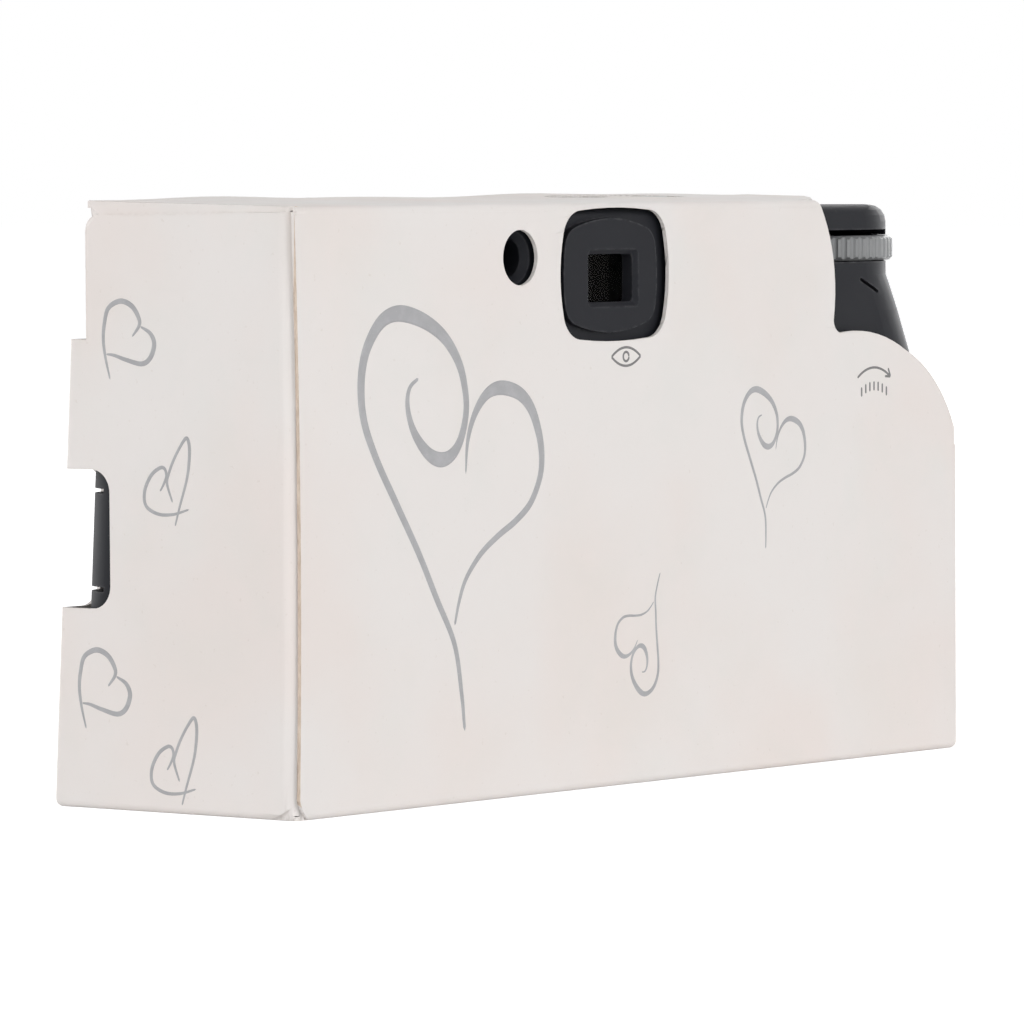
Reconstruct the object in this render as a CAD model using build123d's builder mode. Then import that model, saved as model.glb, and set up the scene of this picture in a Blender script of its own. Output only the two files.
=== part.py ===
from build123d import *
import math
import os

os.makedirs("parts", exist_ok=True)

# Single-use 35 mm flash camera in a folded card sleeve, in millimetres.
# +Z is up, the lens looks along -Y, and the winding wheel is at the -X end.
# The origin is on the floor, below the middle of the sleeve.

# Driving dimensions
width = 118.4
height = 63.0
depth_foot = 33.6
head_taper = 3.5
head_rise = 1.0
card = 0.45
fold_radius = 0.8
near_fold_radius = 1.8
card_play = 0.2
back_play = 0.15
top_play = 0.12
wall = 1.1
frame_play = 0.15
slip = 0.1
running = 0.06
overrun = 8.0

# Film, cassette and optics that the body is built round
film_axis_z = 28.0
film_width = 35.0
film_thick = 0.13
film_depth = 3.6
film_radius = 200.0
gate_width = 36.0
gate_height = 24.0
gate_inset = 32.2
pitch = 4.75
cassette_radius = 12.5
cassette_height = 44.0
cassette_play = 0.2

# Places of the controls and windows
parting_y = 1.0
front_corner = 5.2
back_corner = 2.5
body_edge = 0.9
eyepiece_x = 5.75
eyepiece_z = 55.2
window_x = 5.3
window_z = 54.9
lamp_inset = 37.4
lamp_z = 57.3
thumb_angle = 128.3
wheel_radius = 12.95
wheel_bottom = 56.15
wheel_thick = 2.8
thumb_flat = 12.05
wheel_clear = 0.3
flash_inset = 21.7
flash_z = 55.5
button_inset = 33.2
button_reach = 7.9
charge_inset = 23.2
charge_z = 37.0

# Faces and axes worked out from them
half_width = width / 2
back_y = depth_foot / 2
depth_head = depth_foot - head_taper
lean = math.degrees(math.atan((depth_foot - depth_head) / height))
body_left = half_width - 2 * card - card_play
body_right = -(half_width - card - card_play)
body_back = back_y - 2 * card - back_play
body_floor = card
body_top = height - card - top_play
cassette_x = body_right + wall + cassette_play + cassette_radius
cassette_y = body_back - wall - cassette_play - cassette_radius
cassette_floor = film_axis_z - cassette_height / 2
cassette_top = film_axis_z + cassette_height / 2
film_low = film_axis_z - film_width / 2
film_high = film_axis_z + film_width / 2
film_plane_y = back_y - film_depth
gate_reach = half_width - gate_inset
lamp_x = half_width - lamp_inset
flash_x = half_width - flash_inset
charge_x = half_width - charge_inset
button_x = button_inset - half_width
button_y = back_y - depth_head + button_reach
wheel_top = wheel_bottom + wheel_thick


def card_front(z):
    return -back_y + (depth_foot - depth_head) * z / height


def card_top(y):
    return height + head_rise * (back_y - y) / (back_y - card_front(height))


def body_front(z):
    return card_front(z) + card + card_play


def film_y(x):
    return film_plane_y - film_radius + math.sqrt(film_radius**2 - x**2)


# Plane of the body's leaning front face, with its local y up the face
front_plane = Plane(
    origin=(0, body_front(0), 0),
    x_dir=(1, 0, 0),
    z_dir=(0, -math.cos(math.radians(lean)), math.sin(math.radians(lean))),
)
# Thumb corner of the body: rounded off from the back, upright beside the wheel, flaring outwards below it
thumb_radius = 11.8
thumb_knee_z = 54.6
thumb_waist_z = 50.5
thumb_foot_z = 33.0
thumb_waist_flare = 1.4
thumb_flare = 6.6
thumb_crown = 1.9
crown_steps = 4


def thumb_section(inset, distance):
    # Round corner of the body at this distance of its flat from the cassette's axis
    turn = math.radians(thumb_angle)
    radius = thumb_radius - inset
    middle_y = body_back - inset - radius
    reach = (middle_y - cassette_y) * math.sin(turn) + radius - distance
    middle_x = cassette_x - reach / math.cos(turn)
    end = (middle_x + radius * math.cos(turn), middle_y + radius * math.sin(turn))
    half_turn = (turn + math.pi / 2) / 2
    with BuildSketch() as section:
        with BuildLine():
            Line((middle_x, body_back + overrun), (middle_x, body_back - inset))
            ThreePointArc(
                (middle_x, body_back - inset),
                (middle_x + radius * math.cos(half_turn), middle_y + radius * math.sin(half_turn)),
                end,
            )
            Polyline(
                end,
                (end[0] - half_width * math.sin(turn), end[1] + half_width * math.cos(turn)),
                (middle_x - 2 * half_width, body_back + overrun),
                (middle_x, body_back + overrun),
            )
        make_face()
    return section.sketch


def body_block(inset):
    with BuildPart() as block:
        for level in (body_floor + inset, body_top - inset):
            front = body_front(level) + inset
            with BuildSketch(Plane.XY.offset(level)):
                with BuildLine():
                    FilletPolyline(
                        (body_right + inset, front),
                        (body_left - inset, front),
                        (body_left - inset, body_back - inset),
                        (body_right + inset, body_back - inset),
                        radius=[front_corner - inset] * 2 + [back_corner - inset] * 2,
                        close=True,
                    )
                make_face()
        loft(ruled=True)
        if inset < wall:
            ends = block.faces().filter_by(Axis.Z)
            fillet(ends.edges(), body_edge - inset)
        crown = max(thumb_crown - inset, slip)
        levels = [
            (thumb_foot_z, thumb_flat + thumb_flare),
            (thumb_waist_z, thumb_flat + thumb_waist_flare),
            (thumb_knee_z, thumb_flat),
        ]
        for i in range(crown_steps + 1):
            rise = math.radians(90 * i / crown_steps)
            levels.append(
                (
                    body_top - inset - crown * (1 - math.sin(rise)),
                    thumb_flat - crown * (1 - math.cos(rise)),
                )
            )
        levels.append((body_top + overrun, levels[-1][1]))
        for level, distance in levels:
            with BuildSketch(Plane.XY.offset(level)):
                add(thumb_section(inset, distance - inset))
        loft(ruled=True, mode=Mode.SUBTRACT)
    return block.part


# Card sleeve: back, top, floor and far end are one strip, and the front with the near end is the other
cut_depth = 3.0
finder_cut_width = 19.2
finder_cut_height = 14.4
finder_cut_x = 5.3
finder_cut_z = 55.3
finder_cut_bulge = 0.5
finder_cut_side_bulge = 1.3
finder_cut_corner = 3.2
lamp_cut_radius = 2.95
free_edge_gap = 0.1
free_edge_middle = 0.85
free_edge_low = 0.45
free_corner_width = 1.75
free_corner_height = 2.9
near_drop = 0.6
near_corner_radius = 1.7
near_foot_width = 5.4
near_foot_height = 2.0
flap_width = 14.0
flap_margin = 0.55
tuck_height = 13.0
tuck_taper = 2.5
tuck_margin = 1.6
notch_low = 21.0
notch_high = 35.55
notch_y = -8.5
notch_front = 6.0
notch_radius = 2.4
flash_cut_low = 49.2
flash_cut_y = -11.6
flash_cut_inset = 37.2
flash_cut_inner = half_width - flash_cut_inset
lens_cut_radius = 13.5
front_finder_width = 14.0
front_finder_height = 9.6
front_finder_corner = 2.5
charge_cut_radius = 5.0
button_cut_radius = 6.6
counter_x = -12.8
counter_y = 3.0
counter_radius = 8.0
counter_window_radius = 2.6
counter_window_y = -2.4
counter_cut_radius = 3.6
corner_top_inset = 27.1
corner_top_x = corner_top_inset - half_width
corner_neck_inset = 25.0
corner_neck_x = corner_neck_inset - half_width
corner_neck_z = 58.9
corner_side_inset = 24.3
corner_side_x = corner_side_inset - half_width
corner_side_z = 49.6
corner_inner_inset = 23.9
corner_inner_x = corner_inner_inset - half_width
corner_inner_z = 48.6
corner_cusp_inset = 23.0
corner_cusp_x = corner_cusp_inset - half_width
corner_cusp_z = 48.15
corner_brow_inset = 16.3
corner_brow_x = corner_brow_inset - half_width
corner_brow_z = 47.95
corner_lip_inset = 10.3
corner_lip_x = corner_lip_inset - half_width
corner_lip_z = 45.9
corner_cheek_inset = 3.9
corner_cheek_x = corner_cheek_inset - half_width
corner_cheek_z = 41.6
corner_fold_z = 34.8
corner_inner_radius = 1.0
corner_end_y = -5.0
corner_end_z = 47.0


def bulged_outline(wide, high, side_bulge, end_bulge, corner):
    # Four arcs that bulge outwards between rounded corners
    x = wide / 2
    y = high / 2
    with BuildSketch() as outline:
        with BuildLine():
            ThreePointArc((-x + side_bulge, -y + end_bulge), (0, -y), (x - side_bulge, -y + end_bulge))
            ThreePointArc((x - side_bulge, -y + end_bulge), (x, 0), (x - side_bulge, y - end_bulge))
            ThreePointArc((x - side_bulge, y - end_bulge), (0, y), (-x + side_bulge, y - end_bulge))
            ThreePointArc((-x + side_bulge, y - end_bulge), (-x, 0), (-x + side_bulge, -y + end_bulge))
        make_face()
        fillet(outline.vertices(), corner)
    return outline.sketch


def sleeve_block(inset):
    with BuildPart() as block:
        with BuildSketch(Plane.YZ.offset(-half_width + inset)):
            with BuildLine():
                Polyline(
                    (card_front(inset) + inset, inset),
                    (back_y - inset, inset),
                    (back_y - inset, height - inset),
                    (card_front(height) + inset, card_top(card_front(height)) - inset),
                    close=True,
                )
            make_face()
        extrude(amount=width - 2 * inset)
        # The near end's edge at the back stays sharp: the back panel ends there, free
        near_edge = block.edges().filter_by(Axis.Z).sort_by(Axis.X)[-1:]
        fillet(block.edges() - near_edge, fold_radius - inset)
    return block.part


with BuildPart() as card_sleeve:
    add(sleeve_block(0))
    # The near end's fold lies under the back panel's free edge, which bows in a little halfway down
    with BuildSketch(Plane.XZ.offset(-back_y - overrun)):
        with BuildLine():
            ThreePointArc(
                (half_width - free_edge_gap, height + head_rise),
                (half_width - free_edge_middle, height / 2),
                (half_width - free_edge_low, 0),
            )
            Polyline(
                (half_width - free_edge_low, 0),
                (half_width - free_edge_low, -overrun),
                (half_width + overrun, -overrun),
                (half_width + overrun, height + head_rise),
                (half_width - free_edge_gap, height + head_rise),
            )
        make_face()
        with BuildLine():
            corner_x = half_width - free_edge_low
            ThreePointArc(
                (corner_x, free_corner_height),
                (corner_x - free_corner_width / 3, free_corner_height / 3),
                (corner_x - free_corner_width, 0),
            )
            Polyline(
                (corner_x - free_corner_width, 0),
                (corner_x - free_corner_width, -overrun),
                (half_width + overrun, -overrun),
                (half_width + overrun, free_corner_height),
                (corner_x, free_corner_height),
            )
        make_face()
    extrude(amount=overrun + card, mode=Mode.SUBTRACT)
    # The near end stops short of the top, whose flap is tucked in behind it
    with BuildSketch(Plane.XY.offset(height - near_drop)):
        with Locations((half_width - card + overrun / 2, 0)):
            Rectangle(overrun, depth_foot + overrun)
    extrude(amount=overrun, mode=Mode.SUBTRACT)
    add(sleeve_block(card), mode=Mode.SUBTRACT)
    # Glue flap under the back panel, and the round fold that leads to it
    with BuildSketch(Plane.XZ.offset(-back_y + card)):
        with BuildLine():
            Polyline(
                (half_width - card, flap_margin),
                (half_width - card, height - flap_margin),
                (half_width - card - flap_width, height - flap_margin - flap_margin),
                (half_width - card - flap_width, 2 * flap_margin),
                close=True,
            )
        make_face()
    extrude(amount=card)
    turn_x = half_width - near_fold_radius
    turn_y = back_y - card - near_fold_radius
    inner_turn = near_fold_radius - card
    with BuildSketch(Plane.XY.offset(flap_margin)):
        with BuildLine():
            CenterArc((turn_x, turn_y), inner_turn, 0, 90)
            Polyline(
                (turn_x, turn_y + inner_turn),
                (turn_x, turn_y + inner_turn + card / 2),
                (half_width - card / 2, turn_y + inner_turn + card / 2),
                (half_width - card / 2, turn_y),
                (turn_x + inner_turn, turn_y),
            )
        make_face()
    extrude(amount=height - 2 * flap_margin)
    with BuildSketch(Plane.XY.offset(-overrun)):
        with BuildLine():
            CenterArc((turn_x, turn_y), near_fold_radius, 0, 90)
            Polyline(
                (turn_x, turn_y + near_fold_radius),
                (half_width + overrun, turn_y + near_fold_radius),
                (half_width + overrun, turn_y),
                (half_width, turn_y),
            )
        make_face()
    extrude(amount=height + 2 * overrun, mode=Mode.SUBTRACT)
    # Corners of the near end: rounded at the front of its top, swept up at the back of its foot
    with BuildSketch(Plane.YZ.offset(half_width + overrun)):
        top_z = height - near_drop
        with BuildLine():
            CenterArc(
                (flash_cut_y + near_corner_radius, top_z - near_corner_radius),
                near_corner_radius,
                90,
                90,
            )
            Polyline(
                (flash_cut_y, top_z - near_corner_radius),
                (flash_cut_y - overrun, top_z - near_corner_radius),
                (flash_cut_y - overrun, top_z),
                (flash_cut_y + near_corner_radius, top_z),
            )
        make_face()
        with BuildLine():
            foot_y = back_y - card
            ThreePointArc(
                (foot_y - near_foot_width, 0),
                (foot_y - near_foot_width / 3, near_foot_height / 3),
                (foot_y, near_foot_height),
            )
            Polyline(
                (foot_y, near_foot_height),
                (foot_y + overrun, near_foot_height),
                (foot_y + overrun, -overrun),
                (foot_y - near_foot_width, -overrun),
                (foot_y - near_foot_width, 0),
            )
        make_face()
    extrude(amount=-overrun - card, mode=Mode.SUBTRACT)
    # Tuck flaps of the top and the floor inside the near end
    for side in (1, -1):
        front = card_front(0 if side > 0 else height) + card + tuck_margin
        back = back_y - 2 * card - tuck_margin
        front_z = card if side > 0 else card_top(front) - card
        back_z = card if side > 0 else card_top(back) - card
        with BuildSketch(Plane.YZ.offset(half_width - card)):
            with BuildLine():
                Polyline(
                    (front, front_z),
                    (front + tuck_taper, front_z + side * tuck_height),
                    (back - tuck_taper, back_z + side * tuck_height),
                    (back, back_z),
                    close=True,
                )
            make_face()
        extrude(amount=-card)
    # Back panel: eyepiece window and ready lamp hole
    with BuildSketch(Plane.XZ.offset(-back_y - overrun)):
        window_cut = bulged_outline(
            finder_cut_width, finder_cut_height, finder_cut_side_bulge, finder_cut_bulge, finder_cut_corner
        )
        add(window_cut.moved(Location((finder_cut_x, finder_cut_z))))
        with Locations((lamp_x, lamp_z)):
            Circle(lamp_cut_radius)
    extrude(amount=overrun + cut_depth, mode=Mode.SUBTRACT)
    # Corner cut away round the wheel, on the back, the end and the top
    with BuildSketch(Plane.XZ.offset(-back_y - overrun)):
        with BuildLine():
            Polyline(
                (-half_width - overrun, corner_fold_z),
                (-half_width - overrun, height + head_rise + overrun),
                (corner_top_x, height + head_rise + overrun),
                (corner_top_x, height),
            )
            Spline(
                (corner_top_x, height),
                (corner_neck_x, corner_neck_z),
                (corner_side_x, corner_side_z),
            )
            ThreePointArc(
                (corner_side_x, corner_side_z),
                (corner_inner_x, corner_inner_z),
                (corner_cusp_x, corner_cusp_z),
            )
            ThreePointArc(
                (corner_cusp_x, corner_cusp_z),
                (corner_brow_x, corner_brow_z),
                (corner_lip_x, corner_lip_z),
            )
            ThreePointArc(
                (corner_lip_x, corner_lip_z),
                (corner_cheek_x, corner_cheek_z),
                (-half_width, corner_fold_z),
            )
            Line((-half_width, corner_fold_z), (-half_width - overrun, corner_fold_z))
        make_face()
    extrude(amount=overrun + cut_depth, mode=Mode.SUBTRACT)
    with BuildSketch(Plane.YZ.offset(-half_width - overrun)):
        with BuildLine():
            Polyline(
                (back_y + overrun, corner_fold_z),
                (back_y + overrun, height + head_rise + overrun),
                (corner_end_y, height + head_rise + overrun),
                (corner_end_y, corner_end_z),
            )
            ThreePointArc(
                (corner_end_y, corner_end_z),
                ((corner_end_y + back_y) / 2, (corner_end_z + corner_fold_z) / 2 - corner_inner_radius),
                (back_y, corner_fold_z),
            )
            Line((back_y, corner_fold_z), (back_y + overrun, corner_fold_z))
        make_face()
    extrude(amount=overrun + fold_radius, mode=Mode.SUBTRACT)
    with BuildSketch(Plane.XY.offset(height + overrun)):
        with BuildLine():
            Line((-half_width - overrun, corner_end_y), (-half_width, corner_end_y))
            top_middle_x = (corner_top_x - half_width) / 2 - corner_inner_radius
            top_middle_y = (corner_end_y + back_y) / 2 - corner_inner_radius
            ThreePointArc(
                (-half_width, corner_end_y),
                (top_middle_x, top_middle_y),
                (corner_top_x, back_y - 2 * card),
            )
            Polyline(
                (corner_top_x, back_y - 2 * card),
                (-half_width - overrun, back_y - 2 * card),
                (-half_width - overrun, corner_end_y),
            )
        make_face()
    extrude(amount=-overrun - cut_depth, mode=Mode.SUBTRACT)
    # Latch notch and flash cut-out, both round the fold between front and near end
    notch_z = (notch_low + notch_high) / 2
    with BuildSketch(Plane.YZ.offset(half_width + overrun)):
        with Locations((notch_y - depth_foot / 2, notch_z)):
            RectangleRounded(depth_foot, notch_high - notch_low, notch_radius)
    extrude(amount=-overrun - cut_depth, mode=Mode.SUBTRACT)
    with BuildSketch(Plane.XZ.offset(back_y + overrun)):
        with Locations((half_width - notch_front + depth_foot / 2, notch_z)):
            RectangleRounded(depth_foot, notch_high - notch_low, notch_radius)
        with BuildLine():
            FilletPolyline(
                (flash_cut_inner, flash_cut_low),
                (half_width + overrun, flash_cut_low),
                (half_width + overrun, height + overrun),
                (flash_cut_inner, height + overrun),
                radius=[notch_radius, 0, 0, 0],
                close=True,
            )
        make_face()
        with Locations((0, film_axis_z)):
            Circle(lens_cut_radius)
        with Locations((window_x, window_z)):
            RectangleRounded(front_finder_width, front_finder_height, front_finder_corner)
        with Locations((charge_x, charge_z)):
            Circle(charge_cut_radius)
    extrude(amount=-(flash_cut_y + back_y + overrun), mode=Mode.SUBTRACT)
    # Top panel: shutter button and frame counter
    with BuildSketch(Plane.XY.offset(height + overrun)):
        with Locations((button_x, button_y)):
            Circle(button_cut_radius)
        with Locations((counter_x, counter_window_y)):
            Circle(counter_cut_radius)
    extrude(amount=-overrun - cut_depth, mode=Mode.SUBTRACT)
card_sleeve.part.label = "card_sleeve"
export_step(card_sleeve.part, "parts/card_sleeve.step")

# Front cover: open box with the lens, flash and finder windows, and a latch tongue on each end
tongue_low = 23.2
tongue_high = 33.0
tongue_reach = 5.0
tongue_proud = 0.2
tongue_barb = 0.5
slot_gap = 0.5
slot_depth = 9.0
corner_slit_y = -10.4
corner_slit_width = 8.0
flash_window_width = 27.0
flash_window_height = 8.4
flash_window_corner = 1.0
finder_front_width = 11.0
finder_front_height = 7.6
finder_front_corner = 1.0
retainer_radius = 10.0
surround_radius = 16.0
surround_depth = 0.6
charge_radius = 3.8
button_radius = 5.0
guide_wall = 0.9
guide_depth = 2.6
stiff_rib = 0.8
stiff_depth = 1.2
rib_outer_share = 0.82
rib_inner_share = 0.62
rib_shares = (-rib_outer_share, -rib_inner_share, rib_inner_share, rib_outer_share)

body_shell = body_block(0) - body_block(wall)

with BuildPart() as front_cover:
    add(body_shell)
    split(bisect_by=Plane.XZ.offset(-parting_y), keep=Keep.TOP)
    # Ring stepped into the front round the lens
    with BuildSketch(front_plane):
        with Locations((0, film_axis_z)):
            Circle(surround_radius)
    extrude(amount=-surround_depth, mode=Mode.SUBTRACT)
    with BuildSketch(front_plane.offset(-surround_depth)):
        with Locations((0, film_axis_z)):
            Circle(surround_radius + guide_wall)
    extrude(amount=-wall)
    # Ribs across the inside of the front wall
    for share in rib_shares:
        with BuildSketch(front_plane.offset(-wall)):
            with Locations((share * half_width, (body_floor + film_axis_z) / 2)):
                Rectangle(stiff_rib, film_axis_z - body_floor - 2 * wall)
        extrude(amount=-stiff_depth)
    # Windows and the lens opening go through the wall
    with BuildSketch(front_plane.offset(overrun)):
        with Locations((flash_x, flash_z)):
            RectangleRounded(flash_window_width, flash_window_height, flash_window_corner)
        with Locations((window_x, window_z)):
            RectangleRounded(finder_front_width, finder_front_height, finder_front_corner)
    extrude(amount=-overrun - wall - surround_depth - slip, mode=Mode.SUBTRACT)
    with BuildSketch(Plane.XZ.offset(back_y + overrun)):
        with Locations((charge_x, charge_z)):
            Circle(charge_radius + slip)
        with Locations((0, film_axis_z)):
            Circle(retainer_radius + slip)
    extrude(amount=-overrun - depth_foot / 4, mode=Mode.SUBTRACT)
    # Button hole with its guide sleeve, and the counter window's hole
    with BuildSketch(Plane.XY.offset(body_top)):
        with Locations((button_x, button_y)):
            Circle(button_radius + slip + guide_wall)
    extrude(amount=-guide_depth)
    with BuildSketch(Plane.XY.offset(body_top + overrun)):
        with Locations((button_x, button_y)):
            Circle(button_radius + slip)
        with Locations((counter_x, counter_window_y)):
            Circle(counter_window_radius)
    extrude(amount=-overrun - guide_depth, mode=Mode.SUBTRACT)
    # Latch tongues: each end wall is slit above and below a plate that reaches back over the rear cover
    tongue_height = tongue_high - tongue_low
    tongue_z = (tongue_high + tongue_low) / 2
    for side, face_x in ((1, body_left), (-1, body_right)):
        for slit_z in (tongue_high + slot_gap / 2, tongue_low - slot_gap / 2):
            with BuildSketch(Plane.YZ.offset(face_x + side * overrun)):
                with Locations((parting_y - slot_depth / 2 + slip, slit_z)):
                    Rectangle(slot_depth, slot_gap)
            extrude(amount=-side * (overrun + 2 * wall), mode=Mode.SUBTRACT)
            # The slits go on round the front corner, so that it springs too
            slit_x = face_x + side * (overrun - corner_slit_width) / 2
            with BuildSketch(Plane.XY.offset(slit_z - slot_gap / 2)):
                with Locations((slit_x, corner_slit_y - overrun)):
                    Rectangle(overrun + corner_slit_width, 2 * overrun)
            extrude(amount=slot_gap, mode=Mode.SUBTRACT)
        with BuildSketch(Plane.YZ.offset(face_x - side * wall)):
            with Locations((parting_y + (tongue_reach - slot_depth) / 2, tongue_z)):
                Rectangle(tongue_reach + slot_depth, tongue_height)
        extrude(amount=side * (wall + tongue_proud))
        with BuildSketch(Plane.XY.offset(tongue_low)):
            with BuildLine():
                Polyline(
                    (face_x - side * wall, parting_y + tongue_reach),
                    (face_x - side * (wall + tongue_barb), parting_y + tongue_reach - 2 * tongue_barb),
                    (face_x - side * wall, parting_y + tongue_reach - 2 * tongue_barb),
                    close=True,
                )
            make_face()
        extrude(amount=tongue_height)
    # Pocket that clears the winding wheel
    with Locations((cassette_x, cassette_y, wheel_bottom - wheel_clear)):
        Cylinder(
            wheel_radius + wheel_clear,
            wheel_thick + 2 * wheel_clear,
            align=(Align.CENTER, Align.CENTER, Align.MIN),
            mode=Mode.SUBTRACT,
        )
front_cover.part.label = "front_cover"
export_step(front_cover.part, "parts/front_cover.step")

# Rear cover: back wall with the eyepiece boss, pressure ribs behind the film and the thumb corner
eyepiece_width = 16.5
eyepiece_height = 12.3
eyepiece_bulge = 1.45
eyepiece_side_bulge = 0.6
eyepiece_corner = 2.4
eyepiece_proud = 0.75
sight_width = 7.9
sight_height = 5.2
sight_bevel = 0.5
sight_corner = 0.5
lamp_radius = 2.0
lamp_funnel = 0.8
lamp_sink = 2.6
lamp_boss = 0.8
lamp_boss_depth = 3.0
wheel_gap = 0.1
wheel_slot_low = wheel_bottom - wheel_gap
wheel_slot_high = wheel_top + wheel_gap
wheel_slot_inset = 26.2
wheel_slot_x = wheel_slot_inset - half_width
wheel_slot_y = 5.9
wheel_brow = 0.6
wheel_brow_inset = 10.8
mark_inset = 16.0
mark_z = 53.35
mark_angle = 23.0
mark_length = 3.9
mark_width = 0.4
mark_depth = 0.7
rib_play = 0.12
rib_wide = 1.2
pressure_rib_count = 7
shelf_inset = 27.7
shelf_x = shelf_inset - half_width
catch_play = 0.15

with BuildPart() as rear_cover:
    add(body_shell)
    split(bisect_by=Plane.XZ.offset(-parting_y), keep=Keep.BOTTOM)
    # Thick lip over the wheel
    with BuildSketch(Plane.XY.offset(wheel_slot_high + wheel_brow / 2)):
        with BuildLine():
            Polyline(
                (body_right + wall / 2, parting_y),
                (shelf_x, parting_y),
                (shelf_x, body_back - wall / 2),
                (body_right + wall / 2, body_back - wall / 2),
                close=True,
            )
        make_face()
    extrude(amount=body_top - wall / 2 - wheel_slot_high - wheel_brow / 2)
    add(body_block(wall / 2) + body_shell, mode=Mode.INTERSECT)
    # Pressure ribs, hollowed to the film's curve
    rib_span = film_width - 2 * rib_wide
    for i in range(pressure_rib_count):
        rib_z = film_axis_z + rib_span * (i / (pressure_rib_count - 1) - 1 / 2)
        with BuildSketch(Plane.XY.offset(rib_z - rib_wide / 2)):
            with BuildLine():
                end_y = film_y(gate_reach) + film_thick + rib_play
                ThreePointArc(
                    (-gate_reach, end_y),
                    (0, film_y(0) + film_thick + rib_play),
                    (gate_reach, end_y),
                )
                Polyline(
                    (gate_reach, end_y),
                    (gate_reach, body_back - wall / 2),
                    (-gate_reach, body_back - wall / 2),
                    (-gate_reach, end_y),
                )
            make_face()
        extrude(amount=rib_wide)
    # Eyepiece boss with bulging sides, bevelled down to the sight opening
    with BuildSketch(Plane.XZ.offset(-body_back - eyepiece_proud)):
        boss = bulged_outline(
            eyepiece_width, eyepiece_height, eyepiece_side_bulge, eyepiece_bulge, eyepiece_corner
        )
        add(boss.moved(Location((eyepiece_x, eyepiece_z))))
    extrude(amount=eyepiece_proud + wall / 2)
    with BuildSketch(Plane.XZ.offset(-body_back - eyepiece_proud)):
        with Locations((window_x, window_z)):
            RectangleRounded(sight_width + 2 * sight_bevel, sight_height + 2 * sight_bevel, sight_corner)
    with BuildSketch(Plane.XZ.offset(-body_back - eyepiece_proud + sight_bevel)):
        with Locations((window_x, window_z)):
            RectangleRounded(sight_width, sight_height, sight_corner)
    loft(mode=Mode.SUBTRACT)
    with BuildSketch(Plane.XZ.offset(-body_back - overrun)):
        with Locations((window_x, window_z)):
            RectangleRounded(sight_width, sight_height, sight_corner)
    extrude(amount=overrun + 2 * wall, mode=Mode.SUBTRACT)
    # Ready lamp's hole, in a boss inside the wall
    with BuildSketch(Plane.XZ.offset(-body_back + wall / 2)):
        with Locations((lamp_x, lamp_z)):
            Circle(lamp_radius + slip + lamp_boss)
    extrude(amount=lamp_boss_depth)
    with BuildSketch(Plane.XZ.offset(-body_back - overrun)):
        with Locations((lamp_x, lamp_z)):
            Circle(lamp_radius + slip)
    extrude(amount=overrun + wall + lamp_boss_depth, mode=Mode.SUBTRACT)
    with BuildSketch(Plane.XZ.offset(-body_back)):
        with Locations((lamp_x, lamp_z)):
            Circle(lamp_radius + lamp_funnel)
    with BuildSketch(Plane.XZ.offset(-body_back + lamp_funnel)):
        with Locations((lamp_x, lamp_z)):
            Circle(lamp_radius + slip)
    loft(mode=Mode.SUBTRACT)
    # Slot for the wheel round the thumb corner
    with BuildSketch(Plane.XY.offset(wheel_slot_low)):
        with BuildLine():
            Polyline(
                (-half_width - overrun, wheel_slot_y),
                (wheel_slot_x, wheel_slot_y),
                (wheel_slot_x, back_y + overrun),
                (-half_width - overrun, back_y + overrun),
                close=True,
            )
        make_face()
    extrude(amount=wheel_slot_high - wheel_slot_low, mode=Mode.SUBTRACT)
    with BuildSketch(Plane.XY.offset(wheel_slot_low)):
        with Locations((cassette_x, cassette_y)):
            Circle(wheel_radius + wheel_clear)
    extrude(amount=wheel_slot_high - wheel_slot_low, mode=Mode.SUBTRACT)
    brow_x = wheel_brow_inset - half_width
    with BuildSketch(Plane.XY.offset(wheel_slot_high)):
        with BuildLine():
            Polyline(
                (brow_x, wheel_slot_y),
                (wheel_slot_x, wheel_slot_y),
                (wheel_slot_x, back_y + overrun),
                (brow_x, back_y + overrun),
                close=True,
            )
        make_face()
    extrude(amount=wheel_brow, mode=Mode.SUBTRACT)
    # Short slanted groove below the slot
    with BuildSketch(Plane.XZ.offset(-back_y)):
        with Locations(Location((mark_inset - half_width, mark_z), mark_angle)):
            SlotOverall(mark_length, mark_width)
    extrude(amount=back_y - body_back + mark_depth, mode=Mode.SUBTRACT)
    # Openings that catch the front cover's tongues
    for side, face_x in ((1, body_left), (-1, body_right)):
        with BuildSketch(Plane.YZ.offset(face_x + side * overrun)):
            with Locations((parting_y + tongue_reach / 2, tongue_z)):
                Rectangle(tongue_reach + 2 * catch_play, tongue_height + 2 * catch_play)
        extrude(amount=-side * (overrun + 2 * wall), mode=Mode.SUBTRACT)
rear_cover.part.label = "rear_cover"
export_step(rear_cover.part, "parts/rear_cover.step")

# Main frame: film gate, light cone, cassette and supply chambers, deck and battery tray
chamber_play = 0.25
chamber_wall = 1.0
chamber_floor = 1.7
supply_radius = 11.0
supply_x = body_left - wall - cassette_play - supply_radius
supply_y = body_back - wall - cassette_play - supply_radius
gate_plate = 1.2
gate_step = 0.25
rail_wide = 2.0
cone_inset = 6.6444
cone_front_y = card_front(film_axis_z) + cone_inset
cone_front_width = 9.0
cone_front_height = 7.0
cone_wall = 1.0
deck_z = 46.6
deck_thick = 1.2
deck_inset = 5.011
deck_front_y = card_front(deck_z) + deck_inset
deck_left_inset = 26.2
deck_left_x = half_width - deck_left_inset
roof_z = 50.8
roof_thick = 1.2
hub_radius = 6.0
collar_wall = 1.1
collar_height = 2.4
sprocket_inset = 36.0
sprocket_x = sprocket_inset - half_width
sprocket_teeth = 8
sprocket_radius = sprocket_teeth * pitch / (2 * math.pi)
sprocket_y = film_y(sprocket_x) - sprocket_radius
tooth_height = 1.0
sprocket_clear = 0.4
shaft_radius = 1.6
battery_radius = 7.1
battery_length = 49.2
battery_z = 10.0
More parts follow.
